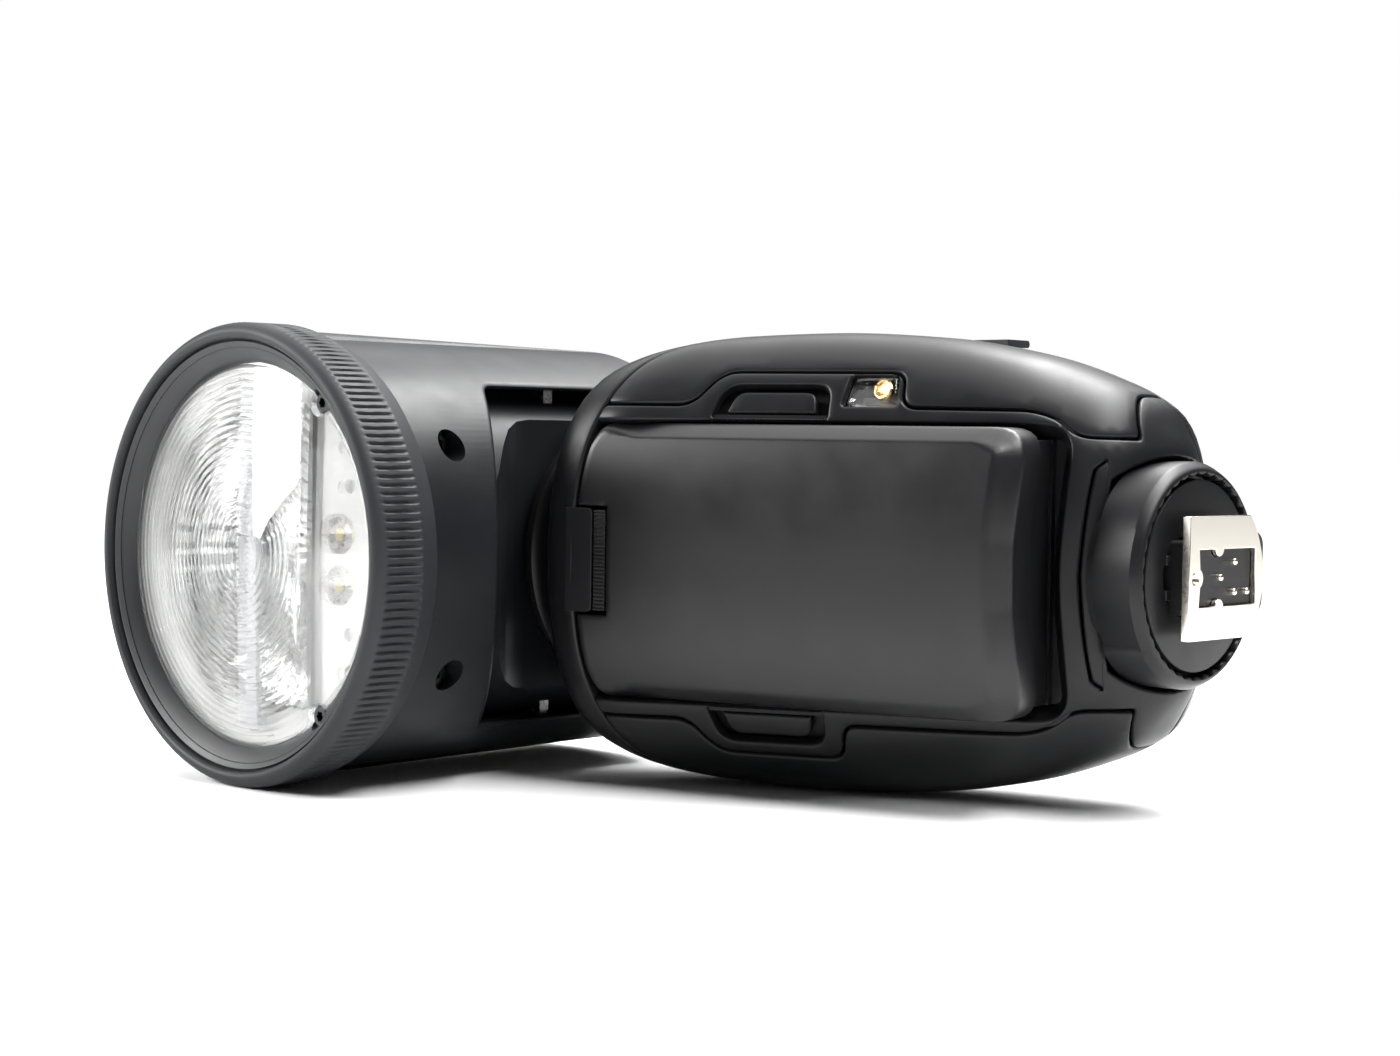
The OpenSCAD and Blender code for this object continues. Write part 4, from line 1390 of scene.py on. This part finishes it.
def make_reflector():
    """Faceted bowl that flares to fill the lens."""
    curve = []
    for i in range(13):
        t = i / 12
        curve.append((5.0 + 15.0 * t ** 0.62, 60.5 + 11.1 * t))
    curve += [(21.8, 73.2), (23.6, 75.0), (24.8, 76.3)]
    outer = [(r + 0.6, z - 0.25) for r, z in curve[::-1]]

    def faceted(angle, i, r):
        return r * (1 + 0.012 * abs(math.sin(angle * 24)))
    bowl = revolve(curve + outer, 144, radius=faceted)
    reflector = put("reflector_bowl", *bowl, head, MIRROR, "silver_mirror", "zoom_carriage", ["reflector"],
                    sharp=8)
    verts, faces = extrude(ring_of(2.6, 32), -40, 40)
    cut(reflector, [throwaway([(v[0], v[2], TUBE_Z + v[1]) for v in verts], faces, head)], sharp=8)
    base = revolve([(0.0, 60.2), (5.4, 60.2), (5.4, 60.6), (0.0, 60.6)], 64, closed=False)
    put("reflector_back", *base, head, MIRROR, "silver_mirror", "zoom_carriage", sharp=20)
    seat = revolve([(31.4, 79.0), (31.4, 82.7), (30.6, 82.7), (26.2, 80.2), (25.7, 79.4), (25.7, 78.6),
                    (26.4, 78.6)], 128)
    ring = put("lens_seat", *seat, head, WHITE, "white_plastic", "head", sharp=30)
    cut(ring, [throwaway(*box(14.0, 40, -40, 40, 70, 90), head)], sharp=30)
    tube = []
    for k in range(9):
        a = math.pi / 2 * k / 8
        tube.append((2.0 * math.sin(a), -22 + 2.0 * (1 - math.cos(a))))
    tube = [(0.0, -22.0)] + tube[1:] + [(2.0, 20.0)] + [
        (p[0], -p[1]) for p in tube[::-1][1:-1]] + [(0.0, 22.0)]
    shape = revolve(tube, 40, closed=False)
    place = lambda v: head((v[0], v[2], TUBE_Z + v[1]))
    put("xenon_tube", *shape, place, TUBE, "tube_glass", "zoom_carriage", ["flash_tube"], sharp=40)
    put("tube_surround", *arc_band(5.4, 14.0, 1.7, 81.6, 82.9), head, BLACK, "black_plastic", "head")
    for s, name in ((1, "a"), (-1, "b")):
        rod = revolve([(0.0, 10 * s), (0.7, 10 * s), (0.7, 23 * s), (0.0, 23 * s)], 24, closed=False)
        put("electrode_" + name, *rod, place, STEEL, "steel", "zoom_carriage")


def make_led_insert():
    """White scalloped insert with two lamp cups behind the lens."""
    outline = []
    for k in range(61):
        a = math.radians(-64 + 128 * k / 60)
        outline.append((29.0 * math.cos(a), 29.0 * math.sin(a)))
    left = []
    for k in range(33):
        y = 26.1 - 52.2 * k / 32
        left.append((15.2 + 1.2 * math.cos(y * 0.95) - 2.4 * math.exp(-(y / 6.5) ** 4), y))
    body = extrude(outline + left, 78.6, 81.7)
    insert = put("lamp_insert", *body, head, WHITE, "white_plastic", "head", ["led_insert"])
    cutters = []
    for s in (-1, 1):
        cup = revolve([(0.0, 78.9), (1.4, 78.9), (2.3, 79.8), (2.9, 80.8), (3.3, 82.2), (0.0, 82.2)], 40,
                      closed=False)
        cutters.append(throwaway(*moved(cup, LAMP_X, s * LAMP_Y), head))
        pit = extrude(ring_of(1.1, 24), 80.9, 83)
        for far in (11.5, 17.5):
            cutters.append(throwaway(*moved(pit, 22.5, s * far), head))
    cut(insert, cutters)
    soften(insert, 0.4, 3, 40)
    for s, name in ((1, "a"), (-1, "b")):
        cup = [(3.15, 81.75), (2.75, 80.8), (2.15, 79.9), (1.3, 79.1), (1.3, 78.95), (2.35, 79.75),
               (2.95, 80.65), (3.35, 81.75)]
        place = lambda v, s=s: head((LAMP_X + v[0], s * LAMP_Y + v[1], v[2]))
        put("lamp_cup_" + name, *revolve(cup, 24), place, STEEL, "steel", "head", sharp=10)
        chip = revolve([(0.0, 78.9), (1.1, 78.9), (1.05, 79.25), (0.6, 79.5), (0.0, 79.55)], 24,
                       closed=False)
        put("lamp_chip_" + name, *chip, place, PHOSPHOR, "amber", "head", sharp=50)


def make_head():
    head_shell("head_shell_lower", 4.6, 60, False, "head_lower_shell")
    head_shell("head_shell_upper", -60, 4.4, True, "head_upper_shell")
    for s, name in ((1, "upper"), (-1, "lower")):
        place = lambda v, s=s: head((25.6 + v[2], s * HEAD_SCREW_Y + v[0], HEAD_SCREW_Z + v[1]))
        socket_screw("head_screw_" + name, place, 2.3, 1.5, "head", "steel", DARK_STEEL, ["head_screws"])
    make_ring()
    make_bezel()
    make_lens()
    make_reflector()
    make_led_insert()


# ---------------------------------------------------------------- turret
def make_turret():
    rim = [(0.0, -104.6), (22.6, -104.6), (23.4, -104.3), (23.9, -103.7), (24.0, -103.0), (23.9, -102.2),
           (23.2, -101.6),
           (22.4, -101.42), (8.0, -101.42), (8.0, -93.0), (6.0, -93.0), (6.0, -101.5), (0.0, -101.5)]
    put("turret_disc", *revolve(rim, 128, closed=False), swivel, CHARCOAL, "charcoal_plastic", "turret",
        ["turret"], sharp=40)
    side = [(-104.5, -9.8), (-104.5, 9.8), (-122, 9.8)]
    for k in range(1, 16):
        a = math.pi / 2 + math.pi * k / 16
        side.append((-122 + 9.8 * math.cos(a), 9.8 * math.sin(a)))
    side.append((-122, -9.8))
    column = extrude([(x, y - 22) for x, y in side], -13, 13)
    put("turret_column", *column, device, CHARCOAL, "charcoal_plastic", "turret", bevel=0.6, segments=3)


# ---------------------------------------------------------------- foot
def scalloped(angle, depth, count):
    return depth * (1 - abs(math.cos(angle * count / 2)) ** 0.7)


def make_lock_ring():
    """Lock ring with a bright chamfer, a scalloped bore, a finger scallop in front and a thumb tab behind."""
    profile = [(17.4, -10.9), (17.4, -4.3), (17.25, -3.95), (16.75, -3.1), (16.5, -2.75), (16.2, -2.5),
               (15.9, -2.42),
               (15.55, -2.5), (15.35, -2.8), (15.3, -5.0), (14.9, -5.1),
               (14.9, -10.9), (15.2, -11.0), (17.2, -11.0)]
    bore = {7: 1, 8: 1, 9: 1}

    def shaped(angle, i, r):
        if i in bore:
            return r + 0.5 * scalloped(angle, 1, 40)
        if i in (0, 1, 13):
            turn = math.degrees(math.atan2(math.sin(angle - FRONT_ANGLE), math.cos(angle - FRONT_ANGLE)))
            reach = soft_step((42 - turn) / 4) * soft_step((turn + 50) / 35)
            if i == 1:
                reach *= 0.25
            return r - 0.8 * reach
        return r
    ring = put("lock_ring_body", *revolve(profile, 480, radius=shaped), foot, CHARCOAL, "charcoal_plastic",
               "lock_ring",
               ["lock_ring"], sharp=32)
    tab = rounded([(-7, 16.2), (-5.6, 19.2), (5.6, 19.2), (7, 16.2)], [0.5, 2.2, 2.2, 0.5])
    put("thumb_tab", *extrude(tab, -6.25, -2.95), foot, CHARCOAL, "charcoal_plastic", "lock_ring",
        bevel=0.7, segments=4)
    return ring


FRONT_ANGLE = -math.pi / 2


def stadium(w, y0, y1, n=16):
    r = w / 2
    pts = []
    for k in range(n + 1):
        a = math.pi * k / n
        pts.append((r * math.cos(a), y1 - r + r * math.sin(a)))
    for k in range(n + 1):
        a = math.pi + math.pi * k / n
        pts.append((r * math.cos(a), y0 + r + r * math.sin(a)))
    return pts


def make_foot():
    make_lock_ring()
    disc = revolve([(0.0, -4.0), (14.7, -4.0), (14.7, -3.0), (14.6, -2.82), (14.4, -2.75), (0.0, -2.75)],
                   128, closed=False)
    plate = put("foot_disc", *disc, foot, CHARCOAL, "charcoal_plastic", "pressure_disc", ["pressure_disc"],
                sharp=40)
    cut(plate, [throwaway(*extrude(stadium(12.4, -9.9, 10.6), -9, 2), foot)])
    soften(plate, 0.18, 2, 50)
    stem = join(extrude(rounded([(-5.6, -8.2), (5.6, -8.2), (5.6, 9.3), (-5.6, 9.3)], 1.0), -5.1, -0.1),
                revolve([(0.0, -11.1), (14.5, -11.1), (14.5, -5.1), (0.0, -5.1)], 96, closed=False))
    put("foot_stem", *stem, foot, BLACK, "black_plastic", "body", ["foot_base"], bevel=0.25)
    for s, name in ((-1, "a"), (1, "b")):
        lug = box(s * 2.6 - 0.75, s * 2.6 + 0.75, -9.5, -8.0, -5.0, -2.4)
        put("foot_lug_" + name, *lug, foot, BLACK, "black_plastic", "body", bevel=0.2)
    make_shoe()


def block_outline(g=0.0):
    """The contact block: a rectangle with a notch on each side and one in front."""
    pts = []
    x = 4.2 + g
    y0 = -6.4 - g
    y1 = 9.3 + g
    side = [(x, y0), (x, -2.1 + g)]
    for k in range(1, 12):
        a = math.pi * k / 12
        side.append((4.4 - (1.3 - g) * math.sin(a), -0.8 - (1.3 - g) * math.cos(a)))
    side += [(x, 0.5 - g), (x, y1)]
    front = []
    for k in range(13):
        a = math.pi * k / 12
        front.append((-(1.75 - g) * math.cos(a), -7.05 + (1.75 - g) * math.sin(a)))
    front = [p for p in front if p[1] > y0 + 0.05]
    pts = side + [(-p[0], p[1]) for p in side[::-1]] + front
    return pts


def make_shoe():
    arc = []
    for k in range(33):
        a = math.radians(44.3 + 91.4 * k / 32)
        arc.append((13 * math.cos(a), -1.2 + 13 * math.sin(a)))
    outline = [(9.3, -9.2)] + arc + [(-9.3, -9.2)]
    plate = put("shoe_plate_skin", *extrude(outline, 0.02, 1.38), foot, NICKEL, "nickel", "body",
                ["shoe_plate"], sharp=30)
    cut(plate, [throwaway(*extrude(block_outline(0.12), -2, 4), foot),
                throwaway(*extrude(ring_of(0.95, 32, (0, -7.6)), -2, 4), foot)])
    soften(plate, 0.16, 2, 40)
    put("contact_rest", *extrude(block_outline(), 0.0, 0.55), foot, BLACK, "black_plastic", "body",
        ["contact_block"], bevel=0.1)
    for k, (y, z) in enumerate([(0, 0), (4, 2.3), (4, -2.3), (7.6, -2.3)]):
        tip = [(0.0, -5.9), (0.55, -5.9), (0.55, 1.0), (0.5, 1.2), (0.35, 1.34), (0.15, 1.39), (0.0, 1.4)]
        place = lambda v, y=y, z=z: foot((v[0] - z, v[1] + y, v[2]))
        put("contact_%d" % (k + 1), *revolve(tip, 24, closed=False), place, NICKEL, "nickel",
            "contact_pins", ["contact_pins"], sharp=50)


# ---------------------------------------------------------------- neck, sensor, bay and back
def make_neck():
    """The rounded frame round the lock ring, set in the housing."""
    left = [(NECK_X + 0.18 - 0.9 * (1 - abs(z) / 16), z) for z in (-12, -8, -4, 0, 4, 8, 12)]
    loop = [(-11.6, -17.2), (NECK_X + 1.2, -17.2), (NECK_X + 0.3, -16.2)] + left
    loop += [(NECK_X + 0.3, 16.2), (NECK_X + 1.2, 17.2), (-11.6, 17.2)]
    outline = [plan(x, phi_at(x, z)) for x, z in loop]
    put("neck_frame", *patch(outline, lambda u, b, d: plan_skin(u, b, d + 0.15), wall=1.4, step=1.4),
        device, CHARCOAL,
        "charcoal_plastic", "body", ["neck_plate"])
    floor = revolve([(0.0, -13.0), (15.0, -13.0), (15.0, -11.2), (0.0, -11.2)], 96, closed=False)
    put("neck_floor", *floor, foot, BLACK, "black_plastic", "body", sharp=40)


def make_sensor():
    """Faceted clear window with a turned lamp behind it."""
    loop = resample(rounded([(-50.75, 25.55), (-50.75, 29.95), (-44.05, 29.95), (-42.95, 25.55)], 0.5), 0.7)
    outline = [plan(x, phi_at(x, z)) for x, z in loop]

    def faceted(u, b, depth):
        p = plan_skin(u, b, depth + 0.1)
        return p + Vector((0, 0.35 * max(0.0, abs(p.x + 46.9) - 1.9), 0))
    put("sensor_cover", *patch(outline, faceted, wall=0.9, step=0.7), device, WINDOW, "clear_lens", "body",
        ["sensor_window"])
    put("sensor_back", *patch(outline, lambda u, b, d: plan_skin(u, b, d + 3.6), wall=0.6, step=1.5),
        device, DIFFUSER, "white_plastic", "body")
    lamp = [(0.0, 0.0), (1.7, 0.0), (1.7, 2.0), (1.45, 2.3), (1.25, 2.3), (1.1, 1.9), (0.0, 1.7)]
    centre = skin(-46.6, phi_at(-46.6, 27.8))
    tilt = math.radians(20)

    def place(v):
        y = centre.y + 3.9 - (v[2] * math.cos(tilt) - v[1] * math.sin(tilt))
        return Vector((centre.x + v[0], y, centre.z + v[1] * math.cos(tilt)))
    put("sensor_lens", *revolve(lamp, 40, closed=False), place, BRASS, "brass", "body", ["sensor_lamp"],
        sharp=30)


LINER = [(0.45, 0.0), (0.9, 0.3), (1.7, 0.95), (2.9, 1.7), (4.4, 2.3), (6.0, 2.6), (15.0, 2.65)]


def make_bay_liner():
    """The bay's walls, with a hollow round the battery's foot end."""
    line = bay_line()
    loops = []
    for i, (lx, z) in enumerate(line):
        before = Vector(line[max(i - 1, 0)])
        after = Vector(line[min(i + 1, len(line) - 1)])
        along = (after - before).normalized()
        inward = Vector((along.y, -along.x))
        if inward.dot(Vector((40, 0)) - Vector((lx, z))) < 0:
            inward = -inward
        p = plan_skin(*bay_plan(lx, z), 0)
        top = -math.sin(SLANT) * (p.x - SEAM_X) + math.cos(SLANT) * (p.y - SEAM_Y)
        end = soft_step((lx - 66) / 8)
        loop = []
        for depth, reach in LINER:
            q = Vector((lx, z)) + inward * (reach * end + 0.1 * (1 - end))
            loop.append((q.x, top + depth, q.y))
        for depth, _ in LINER[::-1]:
            q = Vector((lx, z)) - inward * 1.0
            loop.append((q.x, top + depth + 0.4, q.y))
        loops.append(loop)
    put("bay_liner", *loft(loops), face, CHARCOAL, "charcoal_plastic", "body", sharp=45)


def on_back(x, z):
    """A place on the control panel: local z points out of the back."""
    return lambda v: face((x + v[0], v[2], z + v[1]))


def make_controls():
    knurl = {1: 0, 2: 0.22, 3: 0.22, 4: 0.1}
    dial = [(5.3, 43.7), (9.3, 43.7), (9.4, 44.3), (9.4, 48.0), (9.15, 48.7), (8.6, 49.0), (6.3, 49.0),
            (5.7, 48.7), (5.3, 48.1)]

    def knurled(angle, i, r):
        return r - knurl.get(i, 0) * (0.5 - 0.5 * math.cos(48 * angle)) ** 2
    put("dial_knob", *revolve(dial, 384, radius=knurled), on_back(58, 0), BLACK, "black_plastic",
        "control_dial", ["control_dial"])
    button = [(0.0, 42.5), (4.75, 42.5), (4.75, 47.9), (4.5, 48.4), (4.0, 48.6), (2.0, 48.45), (0.0, 48.4)]
    put("dial_centre", *revolve(button, 64, closed=False), on_back(58, 0), CHARCOAL, "charcoal_plastic",
        "dial_button", ["dial_button"])
    key = [(0.0, 41.3), (2.75, 41.3), (2.75, 46.8), (2.6, 47.2), (2.2, 47.4), (1.0, 47.32), (0.0, 47.3)]
    for k, (x, z) in enumerate(KEY_PLACES):
        node = "key_%d" % (k + 1)
        put(node + "_cap", *revolve(key, 48, closed=False), on_back(x, z), BLACK, "black_plastic", node,
            [node])
    grip = []
    for k in range(4):
        grip += [(72.5 + 0.75 * k, 47.2), (72.8 + 0.75 * k, 47.2), (72.9 + 0.75 * k, 46.9),
                 (73.15 + 0.75 * k, 46.9)]
    knob = [(72.1, 42.7), (72.1, 46.9)] + grip[:-2] + [(75.5, 46.9), (75.5, 42.7)]
    put("power_knob", *extrude(knob, -3.9, 0.3), face, BLACK, "black_plastic", "power_switch",
        ["power_switch"], bevel=0.12)
    glass = rect(13.5, 44.7, -19.1, 19.1, 2.4)
    put("display_glass", *extrude(glass, 45.6, 47.05, "y"), face, SCREEN, "display_glass", "body",
        ["display_window"], bevel=0.3)


CARRIED = {
    "battery_lid": BATTERY, "battery_cells": WRAP, "battery_bay": BLACK, "main_capacitor": SLEEVE,
    "driver_board": BOARD, "main_board": BOARD, "led_board": BOARD,
    "bay_contacts": NICKEL, "display_module": BLACK,
    "display_window": SCREEN, "rear_screws": DARK_STEEL, "swivel_bearing": BRASS,
    "tilt_axle": STEEL, "swivel_nut": STEEL, "guide_rods": STEEL, "zoom_motor": STEEL, "zoom_screw": STEEL,
    "hinge_frame": STEEL, "tilt_bushes": BRASS, "trigger_coil": COPPER, "zoom_ring_core": BLACK,
    "zoom_carriage": BLACK, "sensor_lamp": AMBER, "sensor_window": WINDOW, "locking_pin": NICKEL,
    "port_cover": RUBBER, "control_dial": BLACK,
}


def dress(node, mat):
    """A carried-over CAD node gets a better material in its slots."""
    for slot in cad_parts[node].material_slots:
        slot.material = mat


make_camera()
make_stage()
make_light()
make_crown()
make_covers()
make_front()
make_recess(1, "upper")
make_recess(-1, "lower")
make_rear()
make_neck()
make_sensor()
make_bay_liner()
make_controls()
make_battery()
make_head()
make_turret()
make_foot()

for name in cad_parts:
    dress(name, CARRIED.get(name, CHARCOAL))
